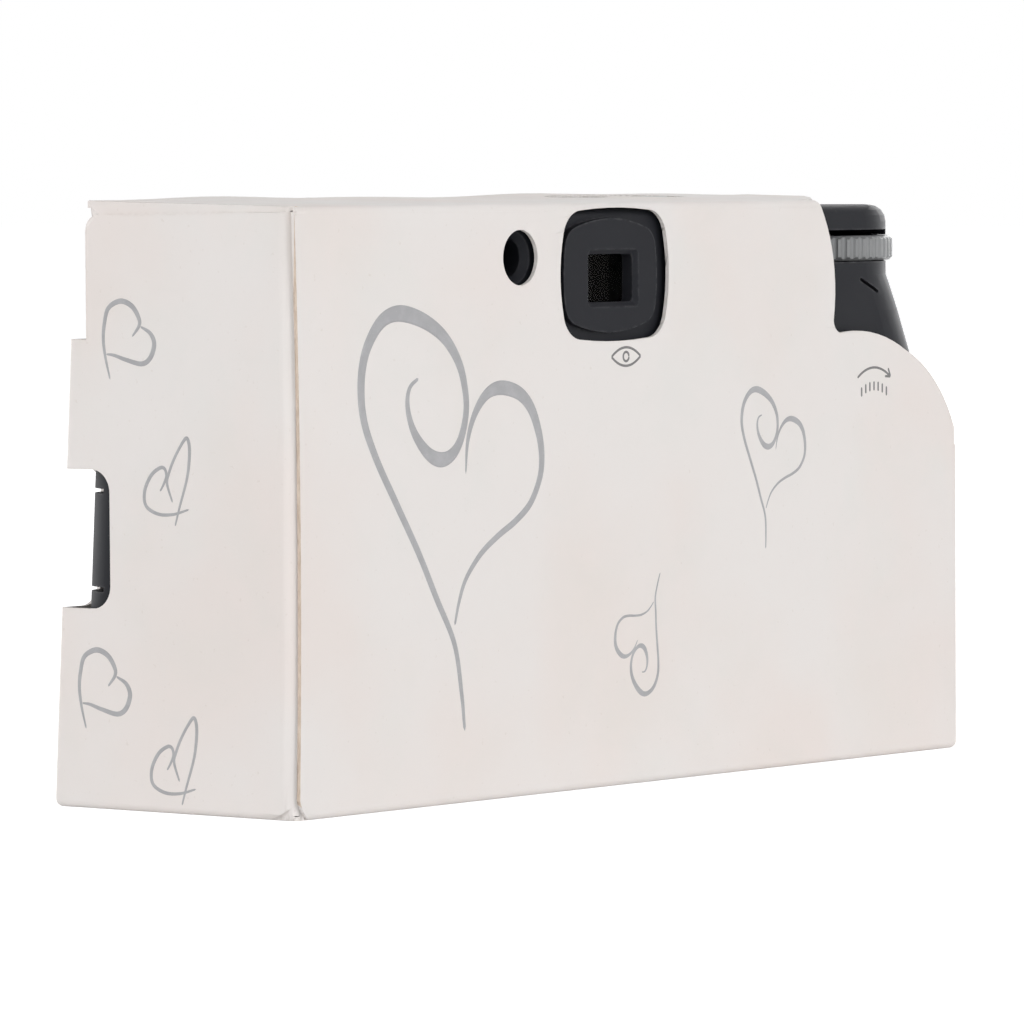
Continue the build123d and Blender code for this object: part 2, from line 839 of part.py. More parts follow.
battery_inset = 9.7444
battery_y = card_front(battery_z) + battery_inset
battery_play = 0.3
tray_wall = 0.9
frame_floor_thick = 1.2
supply_pin_radius = 1.6

frame_fill = body_block(wall + frame_play)

# Cone's hollow from the film gate to the shutter
with BuildPart() as cone_hollow:
    with BuildSketch(Plane.XZ.offset(-film_y(0))):
        with Locations((0, film_axis_z)):
            Rectangle(gate_width, gate_height)
    with BuildSketch(Plane.XZ.offset(-cone_front_y)):
        with Locations((0, film_axis_z)):
            Rectangle(cone_front_width - 2 * cone_wall, cone_front_height - 2 * cone_wall)
    loft(ruled=True)

with BuildPart() as main_frame:
    # Film gate, curved about an upright axis, with a raised rail above and below the picture
    with BuildSketch(Plane.XY.offset(film_low - rail_wide)):
        with BuildLine():
            far_y = film_y(gate_reach)
            ThreePointArc((-gate_reach, far_y), (0, film_y(0)), (gate_reach, far_y))
            Line((gate_reach, far_y), (gate_reach, far_y - gate_plate))
            ThreePointArc(
                (gate_reach, far_y - gate_plate),
                (0, film_y(0) - gate_plate),
                (-gate_reach, far_y - gate_plate),
            )
            Line((-gate_reach, far_y - gate_plate), (-gate_reach, far_y))
        make_face()
    extrude(amount=deck_z - film_low + rail_wide)
    # Light cone
    with BuildSketch(Plane.XZ.offset(-film_y(0) + gate_plate)):
        with Locations((0, film_axis_z)):
            Rectangle(gate_width + 2 * cone_wall, gate_height + 2 * cone_wall)
    with BuildSketch(Plane.XZ.offset(-cone_front_y)):
        with Locations((0, film_axis_z)):
            Rectangle(cone_front_width, cone_front_height)
    loft(ruled=True)
    # Chamber walls and their floors and roofs
    with BuildSketch(Plane.XY.offset(chamber_floor)):
        with Locations((cassette_x, cassette_y)):
            Circle(cassette_radius + chamber_play + chamber_wall)
    extrude(amount=roof_z + roof_thick - chamber_floor)
    with BuildSketch(Plane.XY.offset(chamber_floor)):
        with Locations((supply_x, supply_y)):
            Circle(supply_radius + chamber_wall)
    extrude(amount=deck_z + deck_thick - chamber_floor)
    # Deck over the film, and floor strip under it
    with BuildSketch(Plane.XY.offset(deck_z)):
        with BuildLine():
            Polyline(
                (cassette_x, deck_front_y),
                (deck_left_x, deck_front_y),
                (deck_left_x, body_back - 2 * wall),
                (cassette_x, body_back - 2 * wall),
                close=True,
            )
        make_face()
    extrude(amount=deck_thick)
    with BuildSketch(Plane.XY.offset(chamber_floor)):
        with BuildLine():
            Polyline(
                (cassette_x, battery_y),
                (supply_x, battery_y),
                (supply_x, far_y),
                (cassette_x, far_y),
                close=True,
            )
        make_face()
    extrude(amount=frame_floor_thick)
    # Battery trough behind the battery
    with BuildSketch(Plane.YZ.offset(-battery_length / 2)):
        with Locations((battery_y, battery_z)):
            Circle(battery_radius + battery_play + tray_wall)
            Rectangle(
                2 * battery_radius + overrun,
                4 * battery_radius,
                align=(Align.MAX, Align.CENTER),
                mode=Mode.SUBTRACT,
            )
    extrude(amount=battery_length)
    # Collar that carries the winding wheel
    with BuildSketch(Plane.XY.offset(roof_z + roof_thick)):
        with Locations((cassette_x, cassette_y)):
            Circle(hub_radius + running + collar_wall)
    extrude(amount=collar_height)
    # Hollows
    with BuildSketch(Plane.XY.offset(chamber_floor + frame_floor_thick)):
        with Locations((cassette_x, cassette_y)):
            Circle(cassette_radius + chamber_play)
    extrude(amount=roof_z - chamber_floor - frame_floor_thick, mode=Mode.SUBTRACT)
    with BuildSketch(Plane.XY.offset(chamber_floor + frame_floor_thick)):
        with Locations((supply_x, supply_y)):
            Circle(supply_radius)
    extrude(amount=deck_z - chamber_floor - frame_floor_thick, mode=Mode.SUBTRACT)
    with BuildSketch(Plane.YZ.offset(-battery_length / 2 - overrun)):
        with Locations((battery_y, battery_z)):
            Circle(battery_radius + battery_play)
    extrude(amount=battery_length + 2 * overrun, mode=Mode.SUBTRACT)
    # The film's path behind the chambers is open
    with BuildSketch(Plane.XY.offset(chamber_floor + frame_floor_thick)):
        for middle_x, reach in ((cassette_x, cassette_radius), (supply_x, supply_radius)):
            with Locations((middle_x, cassette_y)):
                Rectangle(2 * (reach + 2 * chamber_wall), depth_foot, align=(Align.CENTER, Align.MIN))
    extrude(amount=deck_z - chamber_floor - frame_floor_thick, mode=Mode.SUBTRACT)
    with BuildSketch(Plane.XY.offset(deck_z - overrun)):
        with Locations((cassette_x, cassette_y)):
            Circle(hub_radius + running)
    extrude(amount=2 * overrun + collar_height, mode=Mode.SUBTRACT)
    add(cone_hollow.part, mode=Mode.SUBTRACT)
    # Picture opening through the gate plate, and the recess between the rails
    with BuildSketch(Plane.XZ.offset(-back_y)):
        with Locations((0, film_axis_z)):
            Rectangle(gate_width, gate_height)
    extrude(amount=back_y - film_y(gate_width / 2) + gate_plate, mode=Mode.SUBTRACT)
    with BuildSketch(Plane.XY.offset(film_low + rail_wide)):
        with BuildLine():
            ThreePointArc(
                (-gate_reach, far_y - gate_step),
                (0, film_y(0) - gate_step),
                (gate_reach, far_y - gate_step),
            )
            Polyline(
                (gate_reach, far_y - gate_step),
                (gate_reach, back_y),
                (-gate_reach, back_y),
                (-gate_reach, far_y - gate_step),
            )
        make_face()
    extrude(amount=film_width - 2 * rail_wide, mode=Mode.SUBTRACT)
    # Room for the sprocket and a bearing hole for its shaft
    with BuildSketch(Plane.XY.offset(film_high - 2 * rail_wide - tooth_height)):
        with Locations((sprocket_x, sprocket_y)):
            Circle(sprocket_radius + tooth_height + sprocket_clear)
    extrude(amount=deck_z - film_high + 2 * rail_wide + tooth_height, mode=Mode.SUBTRACT)
    with BuildSketch(Plane.XY.offset(deck_z - overrun)):
        with Locations((sprocket_x, sprocket_y)):
            Circle(shaft_radius + running)
        with Locations((supply_x, supply_y)):
            Circle(supply_pin_radius + running)
    extrude(amount=2 * overrun, mode=Mode.SUBTRACT)
    with BuildSketch(Plane.XY):
        with Locations((supply_x, supply_y)):
            Circle(supply_pin_radius + running)
    extrude(amount=chamber_floor + 2 * frame_floor_thick, mode=Mode.SUBTRACT)
    add(frame_fill, mode=Mode.INTERSECT)
main_frame.part.label = "main_frame"
export_step(main_frame.part, "parts/main_frame.step")

# Film cassette: a can with a light-trap lip, two crimped end caps and the spool that the wheel turns
can_radius = 12.1
can_wall = 0.4
cap_rim = 1.6
cap_radius = cassette_radius
cap_hole = 5.06
spool_hub_radius = 5.0
spool_core_radius = 4.4
spool_bore = 3.7
spool_flange_radius = 10.6
spool_flange = 0.8
spool_stub = 1.0
hub_proud = 2.4
key_width = 1.4
lip_thick = 0.7
lip_gap = 0.5
lip_reach_x = -31.0
lip_root_x = -37.5
lip_inset = 2.0

with BuildPart() as cassette_can:
    lip_y = film_y(gate_reach) + film_thick / 2
    with BuildSketch(Plane.XY.offset(cassette_floor + cap_rim)):
        with Locations((cassette_x, cassette_y)):
            Circle(can_radius)
    extrude(amount=cassette_height - 2 * cap_rim)
    with BuildSketch(Plane.XY.offset(film_low - lip_thick)):
        with Locations(((lip_root_x + lip_reach_x) / 2, lip_y)):
            Rectangle(lip_reach_x - lip_root_x, 2 * lip_thick + lip_gap)
    extrude(amount=film_width + 2 * lip_thick)
    with BuildSketch(Plane.XY.offset(cassette_floor)):
        with Locations((cassette_x, cassette_y)):
            Circle(can_radius - can_wall)
    extrude(amount=cassette_height, mode=Mode.SUBTRACT)
    with BuildSketch(Plane.XY.offset(film_low - lip_thick / 2)):
        with Locations(((lip_root_x + lip_reach_x) / 2, lip_y)):
            Rectangle(lip_reach_x - lip_root_x + 2 * lip_inset, lip_gap)
    extrude(amount=film_width + lip_thick, mode=Mode.SUBTRACT)
cassette_can.part.label = "cassette_can"
export_step(cassette_can.part, "parts/cassette_can.step")

with BuildPart() as cassette_caps:
    for cap_z, side in ((cassette_floor, 1), (cassette_top, -1)):
        with BuildSketch(Plane.XY.offset(cap_z)):
            with Locations((cassette_x, cassette_y)):
                Circle(cap_radius)
        extrude(amount=side * cap_rim)
        with BuildSketch(Plane.XY.offset(cap_z + side * can_wall)):
            with Locations((cassette_x, cassette_y)):
                Circle(can_radius)
        extrude(amount=side * cap_rim, mode=Mode.SUBTRACT)
        with BuildSketch(Plane.XY.offset(cap_z - side * can_wall)):
            with Locations((cassette_x, cassette_y)):
                Circle(cap_hole)
        extrude(amount=side * cap_rim, mode=Mode.SUBTRACT)
cassette_caps.part.label = "cassette_caps"
export_step(cassette_caps.part, "parts/cassette_caps.step")

with BuildPart() as cassette_spool:
    flange_low = cassette_floor + can_wall + slip
    flange_high = cassette_top - can_wall - slip
    with Locations((cassette_x, cassette_y, flange_low)):
        Cylinder(spool_core_radius, flange_high - flange_low, align=(Align.CENTER, Align.CENTER, Align.MIN))
        Cylinder(spool_flange_radius, spool_flange, align=(Align.CENTER, Align.CENTER, Align.MIN))
    with Locations((cassette_x, cassette_y, flange_high)):
        Cylinder(spool_flange_radius, spool_flange, align=(Align.CENTER, Align.CENTER, Align.MAX))
        Cylinder(spool_hub_radius, can_wall + slip + hub_proud, align=(Align.CENTER, Align.CENTER, Align.MIN))
    with Locations((cassette_x, cassette_y, cassette_floor - spool_stub)):
        Cylinder(
            spool_hub_radius,
            spool_stub + can_wall + slip,
            align=(Align.CENTER, Align.CENTER, Align.MIN),
        )
        Hole(spool_bore)
    with Locations((cassette_x, cassette_y, cassette_top)):
        Box(2 * spool_bore, key_width, 2 * hub_proud, align=(Align.CENTER, Align.CENTER, Align.MAX))
cassette_spool.part.label = "cassette_spool"
export_step(cassette_spool.part, "parts/cassette_spool.step")

# Winding wheel: knurled rim, ratchet ring below it, and a boss that forks over the spool's key
groove_count = 66
groove_radius = 0.5
groove_depth = 0.22
wheel_bevel = 0.4
ratchet_count = 30
ratchet_radius = 10.6
ratchet_depth = 0.8
ratchet_thick = 1.3
boss_low = 51.3
boss_wall = 0.7
fork_radius = 3.3
fork_low = 48.6
dish_radius = 9.5
dish_depth = 0.8

with BuildPart() as thumbwheel:
    with Locations((cassette_x, cassette_y, wheel_bottom)):
        Cylinder(wheel_radius, wheel_thick, align=(Align.CENTER, Align.CENTER, Align.MIN))
    chamfer(thumbwheel.edges().filter_by(GeomType.CIRCLE), wheel_bevel)
    with BuildSketch(Plane.XY.offset(wheel_bottom)):
        with Locations((cassette_x, cassette_y)):
            with PolarLocations(wheel_radius + groove_radius - groove_depth, groove_count):
                Circle(groove_radius)
    extrude(amount=wheel_thick, mode=Mode.SUBTRACT)
    with BuildSketch(Plane.XY.offset(wheel_top)):
        with Locations((cassette_x, cassette_y)):
            Circle(dish_radius)
    extrude(amount=-dish_depth, mode=Mode.SUBTRACT)
    # Ratchet ring, one saw tooth after another
    with BuildSketch(Plane.XY.offset(wheel_bottom)):
        with BuildLine():
            for i in range(ratchet_count):
                angle = 360 * i / ratchet_count
                step = 360 / ratchet_count
                tip = Vector(ratchet_radius, 0).rotate(Axis.Z, angle)
                root = Vector(ratchet_radius - ratchet_depth, 0).rotate(Axis.Z, angle + step)
                next_tip = Vector(ratchet_radius, 0).rotate(Axis.Z, angle + step)
                middle = Vector(cassette_x, cassette_y)
                Polyline(middle + tip, middle + root, middle + next_tip)
        make_face()
    extrude(amount=-ratchet_thick)
    with Locations((cassette_x, cassette_y, wheel_bottom)):
        Cylinder(hub_radius, wheel_bottom - boss_low, align=(Align.CENTER, Align.CENTER, Align.MAX))
    with Locations((cassette_x, cassette_y, boss_low)):
        Cylinder(
            hub_radius - boss_wall,
            hub_proud + slip,
            align=(Align.CENTER, Align.CENTER, Align.MIN),
            mode=Mode.SUBTRACT,
        )
    with Locations((cassette_x, cassette_y, wheel_bottom)):
        Cylinder(fork_radius, wheel_bottom - fork_low, align=(Align.CENTER, Align.CENTER, Align.MAX))
    with Locations((cassette_x, cassette_y, fork_low)):
        Box(
            2 * hub_radius,
            key_width + 2 * slip,
            cassette_top - fork_low + 2 * slip,
            align=(Align.CENTER, Align.CENTER, Align.MIN),
            mode=Mode.SUBTRACT,
        )
thumbwheel.part.label = "thumbwheel"
export_step(thumbwheel.part, "parts/thumbwheel.step")

# Supply spool with its two pins, and the film still wound on it
core_radius = 4.5
supply_flange_radius = 10.4
supply_flange = 0.8
supply_gap = 0.25
roll_radius = 9.6
core_play = 0.05

supply_floor = chamber_floor + frame_floor_thick
with BuildPart() as supply_spool:
    with Locations((supply_x, supply_y, film_low - supply_gap)):
        Cylinder(core_radius, film_width + 2 * supply_gap, align=(Align.CENTER, Align.CENTER, Align.MIN))
        Cylinder(
            supply_flange_radius,
            film_low - supply_gap - supply_floor - supply_gap,
            align=(Align.CENTER, Align.CENTER, Align.MAX),
        )
    with Locations((supply_x, supply_y, film_high + supply_gap)):
        Cylinder(supply_flange_radius, supply_flange / 2, align=(Align.CENTER, Align.CENTER, Align.MIN))
    with Locations((supply_x, supply_y, body_floor + wall + frame_play)):
        Cylinder(supply_pin_radius, supply_floor, align=(Align.CENTER, Align.CENTER, Align.MIN))
    with Locations((supply_x, supply_y, deck_z + deck_thick)):
        Cylinder(supply_pin_radius, 2 * deck_thick, align=(Align.CENTER, Align.CENTER, Align.MAX))
    # The low flange is a cup, to save plastic
    with BuildSketch(Plane.XY.offset(supply_floor)):
        with Locations((supply_x, supply_y)):
            Circle(supply_flange_radius - supply_flange)
            Circle(core_radius, mode=Mode.SUBTRACT)
    extrude(amount=film_low - supply_gap - supply_floor - supply_flange, mode=Mode.SUBTRACT)
supply_spool.part.label = "supply_spool"
export_step(supply_spool.part, "parts/supply_spool.step")

with BuildPart() as film_roll:
    with BuildSketch(Plane.XY.offset(film_low)):
        with Locations((supply_x, supply_y)):
            Circle(roll_radius)
            Circle(core_radius + core_play, mode=Mode.SUBTRACT)
    extrude(amount=film_width)
film_roll.part.label = "film_roll"
export_step(film_roll.part, "parts/film_roll.step")

# Film across the gate, from the roll to the cassette's lip, with its two rows of perforations
perf_width = 1.98
perf_height = 2.8
perf_edge = 2.0
roll_gap = 0.1

with BuildPart() as film_strip:
    with BuildSketch(Plane.XY.offset(film_low)):
        reach_x = supply_x - gate_reach
        drop = supply_y - film_y(gate_reach)
        far = math.hypot(reach_x, drop)
        touch = roll_radius + roll_gap
        angle = math.atan2(drop, reach_x) + math.asin(touch / far)
        run = math.sqrt(far**2 - touch**2)
        end_x = gate_reach + run * math.cos(angle)
        end_y = film_y(gate_reach) + run * math.sin(angle)
        with BuildLine():
            Line((lip_root_x + lip_inset, film_y(gate_reach)), (-gate_reach, film_y(gate_reach)))
            ThreePointArc(
                (-gate_reach, film_y(gate_reach)),
                (0, film_y(0)),
                (gate_reach, film_y(gate_reach)),
            )
            Polyline(
                (gate_reach, film_y(gate_reach)),
                (end_x, end_y),
                (end_x, end_y + film_thick),
                (gate_reach, film_y(gate_reach) + film_thick),
            )
            ThreePointArc(
                (gate_reach, film_y(gate_reach) + film_thick),
                (0, film_y(0) + film_thick),
                (-gate_reach, film_y(gate_reach) + film_thick),
            )
            Polyline(
                (-gate_reach, film_y(gate_reach) + film_thick),
                (lip_root_x + lip_inset, film_y(gate_reach) + film_thick),
                (lip_root_x + lip_inset, film_y(gate_reach)),
            )
        make_face()
    extrude(amount=film_width)
    perf_rows = (film_low + perf_edge + perf_height / 2, film_high - perf_edge - perf_height / 2)
    perf_count = int(2 * gate_reach / pitch)
    with BuildSketch(Plane.XZ.offset(-back_y)):
        for row_z in perf_rows:
            for i in range(perf_count):
                with Locations(((i - (perf_count - 1) / 2) * pitch, row_z)):
                    Rectangle(perf_width, perf_height)
        # One long slot where the sprocket's teeth pass
        with Locations((sprocket_x, perf_rows[1])):
            Rectangle(2 * pitch, perf_height)
    extrude(amount=depth_foot / 2, mode=Mode.SUBTRACT)
film_strip.part.label = "film_strip"
export_step(film_strip.part, "parts/film_strip.step")

# Sprocket on its shaft, the cam above the deck and the finger that steps the counter
tooth_wide = 1.5
tooth_tip = 0.8
tooth_thick = 1.8
hub_height = 3.2
shaft_low = 38.2
shaft_high = 59.0
shutter_cam_low = 48.4
shutter_cam_thick = 1.6
shutter_cam_radius = 4.6
shutter_cam_notch = 1.4
cam_bore_play = 0.05
finger_low = 57.4
finger_thick = 1.4
finger_reach = 2.4
finger_wide = 1.0

with BuildPart() as drive_sprocket:
    with Locations((sprocket_x, sprocket_y, perf_rows[1])):
        Cylinder(sprocket_radius - slip, hub_height)
    with BuildSketch(Plane.XY.offset(perf_rows[1] - tooth_thick / 2)):
        with Locations((sprocket_x, sprocket_y)):
            with PolarLocations(0, sprocket_teeth):
                Polygon(
                    (sprocket_radius - tooth_height, -tooth_wide / 2),
                    (sprocket_radius, -tooth_wide / 2),
                    (sprocket_radius + tooth_height, -tooth_tip / 2),
                    (sprocket_radius + tooth_height, tooth_tip / 2),
                    (sprocket_radius, tooth_wide / 2),
                    (sprocket_radius - tooth_height, tooth_wide / 2),
                    align=None,
                )
    extrude(amount=tooth_thick)
    with Locations((sprocket_x, sprocket_y, shaft_low)):
        Cylinder(shaft_radius, shaft_high - shaft_low, align=(Align.CENTER, Align.CENTER, Align.MIN))
    with BuildSketch(Plane.XY.offset(finger_low)):
        with Locations((sprocket_x + finger_reach / 2, sprocket_y)):
            Rectangle(finger_reach, finger_wide)
    extrude(amount=finger_thick)
drive_sprocket.part.label = "drive_sprocket"
export_step(drive_sprocket.part, "parts/drive_sprocket.step")

with BuildPart() as shutter_cam:
    with BuildSketch(Plane.XY.offset(shutter_cam_low)):
        with Locations((sprocket_x, sprocket_y)):
            Circle(shutter_cam_radius)
            Circle(shaft_radius + cam_bore_play, mode=Mode.SUBTRACT)
        with Locations((sprocket_x - shutter_cam_radius, sprocket_y)):
            Rectangle(2 * shutter_cam_notch, 2 * shutter_cam_notch, mode=Mode.SUBTRACT)
    extrude(amount=shutter_cam_thick)
shutter_cam.part.label = "shutter_cam"
export_step(shutter_cam.part, "parts/shutter_cam.step")

# Frame counter: toothed disc on a post that stands on the deck
counter_low = 58.2
counter_thick = 1.2
counter_teeth = 36
counter_tooth = 0.5
post_radius = 1.5
post_flange = 2.4

with BuildPart() as counter_disc:
    with BuildSketch(Plane.XY.offset(counter_low)):
        with Locations((counter_x, counter_y)):
            Circle(counter_radius)
            Circle(post_radius + running, mode=Mode.SUBTRACT)
            with PolarLocations(counter_radius, counter_teeth):
                Rectangle(2 * counter_tooth, counter_tooth, mode=Mode.SUBTRACT)
    extrude(amount=counter_thick)
counter_disc.part.label = "counter_disc"
export_step(counter_disc.part, "parts/counter_disc.step")

with BuildPart() as counter_post:
    with Locations((counter_x, counter_y, deck_z + deck_thick)):
        Cylinder(
            post_flange,
            counter_low - supply_gap - deck_z - deck_thick,
            align=(Align.CENTER, Align.CENTER, Align.MIN),
        )
        Cylinder(
            post_radius,
            counter_low + counter_thick + supply_gap - deck_z - deck_thick,
            align=(Align.CENTER, Align.CENTER, Align.MIN),
        )
counter_post.part.label = "counter_post"
export_step(counter_post.part, "parts/counter_post.step")

# Domed window over the counter, seated in the front cover's top
dome_rise = 0.35
dome_flange = 0.9
with BuildPart() as counter_window:
    with BuildSketch(Plane.XY.offset(body_top - wall)):
        with Locations((counter_x, counter_window_y)):
            Circle(counter_window_radius - running)
    extrude(amount=wall)
    with BuildSketch(Plane.XY.offset(body_top - wall)):
        with Locations((counter_x, counter_window_y)):
            Circle(counter_window_radius + dome_flange)
    extrude(amount=-dome_flange)
    fillet(counter_window.faces().sort_by(Axis.Z)[-1].edges(), dome_rise)
counter_window.part.label = "counter_window"
export_step(counter_window.part, "parts/counter_window.step")

# Shutter button, with a domed cap and a stem over the release latch
button_proud = 0.5
button_cap = 3.0
button_edge = 0.8
button_stem_radius = 1.6
button_travel = 1.2
latch_z = 52.0
latch_thick = 1.0
latch_pivot_x = -16.0
latch_pivot_y = -5.4
latch_wide = 2.2
latch_ramp = 1.0

button_top = height + button_proud
with BuildPart() as shutter_button:
    with Locations((button_x, button_y, button_top)):
        Cylinder(button_radius, button_cap, align=(Align.CENTER, Align.CENTER, Align.MAX))
    fillet(shutter_button.faces().sort_by(Axis.Z)[-1].edges(), button_edge)
    stem_low = latch_z + latch_thick + button_travel + supply_gap
    with Locations((button_x, button_y, stem_low)):
        Cylinder(
            button_stem_radius,
            button_top - button_cap - stem_low,
            align=(Align.CENTER, Align.CENTER, Align.MIN),
        )
    with BuildSketch(Plane.XY.offset(body_top - guide_depth - supply_gap)):
        with Locations((button_x, button_y)):
            Circle(button_radius + guide_wall)
    extrude(amount=-guide_wall)
    # The cap's core reaches down to the stop flange
    with Locations((button_x, button_y, button_top - button_cap / 2)):
        Cylinder(
            button_radius - guide_wall,
            button_top - button_cap / 2 - body_top + guide_depth + guide_wall,
            align=(Align.CENTER, Align.CENTER, Align.MAX),
        )
shutter_button.part.label = "shutter_button"
export_step(shutter_button.part, "parts/shutter_button.step")

# Release latch: a flat lever on a deck post, under the button's stem at one end, by the cam at the other
with BuildPart() as latch_post:
    with Locations((latch_pivot_x, latch_pivot_y, deck_z + deck_thick)):
        Cylinder(
            post_flange,
            latch_z - supply_gap - deck_z - deck_thick,
            align=(Align.CENTER, Align.CENTER, Align.MIN),
        )
        Cylinder(
            post_radius,
            latch_z + latch_thick + supply_gap - deck_z - deck_thick,
            align=(Align.CENTER, Align.CENTER, Align.MIN),
        )
latch_post.part.label = "latch_post"
export_step(latch_post.part, "parts/latch_post.step")

latch_hook_x = -19.5
latch_hook_y = -0.2
with BuildPart() as release_latch:
    with BuildSketch(Plane.XY.offset(latch_z)):
        with Locations((latch_pivot_x, latch_pivot_y)):
            Circle(post_radius + latch_wide / 2)
        with Locations(((latch_pivot_x + button_x) / 2, latch_pivot_y)):
            Rectangle(latch_pivot_x - button_x, latch_wide)
        with Locations((button_x, button_y)):
            Circle(latch_wide)
        with BuildLine():
            Polyline(
                (latch_pivot_x - post_radius, latch_pivot_y),
                (latch_hook_x - latch_ramp, latch_hook_y),
                (latch_hook_x + latch_ramp, latch_hook_y),
                (latch_pivot_x + post_radius, latch_pivot_y),
                close=True,
            )
        make_face()
        with Locations((latch_pivot_x, latch_pivot_y)):
            Circle(post_radius + running, mode=Mode.SUBTRACT)
    extrude(amount=latch_thick)
release_latch.part.label = "release_latch"
export_step(release_latch.part, "parts/release_latch.step")

# Shutter: plate on the cone's mouth, blade behind the lens, and the lever that strikes it
plate_thick = 1.2
plate_width = 26.0
plate_height = 24.0
plate_shift_x = -2.0
plate_shift_z = 2.0
plate_corner = 2.0
aperture_radius = 2.6
stop_radius = 1.5
blade_gap = 0.15
blade_thick = 0.3
blade_radius = 3.4
blade_pivot_x = -7.0
blade_pivot_z = 37.5
blade_pin_radius = 0.9
blade_neck = 2.4
blade_tab_z = 45.6
blade_tab_x = -8.8

plate_back = cone_front_y
plate_front = cone_front_y - plate_thick
with BuildPart() as shutter_plate:
    with BuildSketch(Plane.XZ.offset(-plate_back)):
        with Locations((plate_shift_x, film_axis_z + plate_shift_z)):
            RectangleRounded(plate_width, plate_height, plate_corner)
        with Locations((0, film_axis_z)):
            Circle(aperture_radius, mode=Mode.SUBTRACT)
    extrude(amount=plate_thick)
    with BuildSketch(Plane.XZ.offset(-plate_front)):
        with Locations((blade_pivot_x, blade_pivot_z)):
            Circle(blade_pin_radius)
    extrude(amount=3 * blade_gap + blade_thick)
shutter_plate.part.label = "shutter_plate"
export_step(shutter_plate.part, "parts/shutter_plate.step")

with BuildPart() as shutter_blade:
    with BuildSketch(Plane.XZ.offset(-plate_front + blade_gap)):
        with Locations((0, film_axis_z)):
            Circle(blade_radius)
        with Locations((blade_pivot_x, blade_pivot_z)):
            Circle(blade_neck)
        with BuildLine():
            Polyline(
                (blade_radius / 2, film_axis_z),
                (blade_pivot_x + blade_neck / 2, blade_pivot_z),
                (blade_pivot_x - blade_neck / 2, blade_pivot_z),
                (-blade_radius, film_axis_z),
                close=True,
            )
        make_face()
        with BuildLine():
            Polyline(
                (blade_pivot_x - blade_neck, blade_pivot_z),
                (blade_pivot_x + blade_pin_radius, blade_pivot_z),
                (blade_tab_x + blade_pin_radius, blade_tab_z),
                (blade_tab_x - blade_pin_radius, blade_tab_z),
                close=True,
            )
        make_face()
        with Locations((blade_pivot_x, blade_pivot_z)):
            Circle(blade_pin_radius + running, mode=Mode.SUBTRACT)
    extrude(amount=blade_thick)
shutter_blade.part.label = "shutter_blade"
export_step(shutter_blade.part, "parts/shutter_blade.step")

striker_low = 50.0
striker_thick = 1.2
striker_pivot_x = -11.0
striker_pivot_y = -5.6
striker_wide = 1.8
striker_drop = 5.6
striker_tail = 4.6

with BuildPart() as striker_post:
    with Locations((striker_pivot_x, striker_pivot_y, deck_z + deck_thick)):
        Cylinder(
            post_flange / 2 + post_radius / 2,
            striker_low - supply_gap - deck_z - deck_thick,
            align=(Align.CENTER, Align.CENTER, Align.MIN),
        )
        Cylinder(
            post_radius / 2,
            striker_low + striker_thick + supply_gap - deck_z - deck_thick,
            align=(Align.CENTER, Align.CENTER, Align.MIN),
        )
striker_post.part.label = "striker_post"
export_step(striker_post.part, "parts/striker_post.step")

with BuildPart() as shutter_striker:
    with BuildSketch(Plane.XY.offset(striker_low)):
        with Locations((striker_pivot_x, striker_pivot_y)):
            Circle(striker_wide)
        with Locations((striker_pivot_x, (striker_pivot_y + plate_front - blade_gap) / 2)):
            Rectangle(striker_wide, striker_pivot_y - plate_front + 2 * blade_gap + blade_thick)
        with Locations((striker_pivot_x, striker_pivot_y + striker_tail / 2)):
            Rectangle(striker_wide / 2, striker_tail)
        with Locations((striker_pivot_x, striker_pivot_y)):
            Circle(post_radius / 2 + running, mode=Mode.SUBTRACT)
    extrude(amount=striker_thick)
    with BuildSketch(Plane.XY.offset(striker_low)):
        with Locations((striker_pivot_x, plate_front - blade_gap - blade_thick / 2)):
            Rectangle(striker_wide / 2, 3 * blade_thick)
    extrude(amount=-striker_drop)
shutter_striker.part.label = "shutter_striker"
export_step(shutter_striker.part, "parts/shutter_striker.step")

# Taking lens in its seat, and the ring that holds it and shows at the front
seat_front = plate_front - 4 * blade_gap - blade_thick
seat_thick = 1.0
seat_radius = 9.6
lens_radius = 4.3
lens_thick = 1.9
lens_front_sag = 0.7
lens_back_sag = 0.25
retainer_front = card_front(film_axis_z) + card_play / 2
cone_mouth = 8.4

with BuildPart() as lens_seat:
    with BuildSketch(Plane.XZ.offset(-seat_front)):
        with Locations((0, film_axis_z)):
            Circle(seat_radius)
            Circle(stop_radius, mode=Mode.SUBTRACT)
    extrude(amount=seat_thick)
lens_seat.part.label = "lens_seat"
export_step(lens_seat.part, "parts/lens_seat.step")

lens_back = seat_front - seat_thick
front_curve = (lens_radius**2 + lens_front_sag**2) / (2 * lens_front_sag)
back_curve = (lens_radius**2 + lens_back_sag**2) / (2 * lens_back_sag)
with BuildPart() as taking_lens:
    with BuildSketch(Plane.XZ.offset(-lens_back)):
        with Locations((0, film_axis_z)):
            Circle(lens_radius)
    extrude(amount=lens_thick)
    with Locations((0, lens_back - lens_thick + front_curve, film_axis_z)):
        Sphere(front_curve, mode=Mode.INTERSECT)
    with Locations((0, lens_back - lens_back_sag + back_curve, film_axis_z)):
        Sphere(back_curve, mode=Mode.SUBTRACT)
taking_lens.part.label = "taking_lens"
export_step(taking_lens.part, "parts/taking_lens.step")

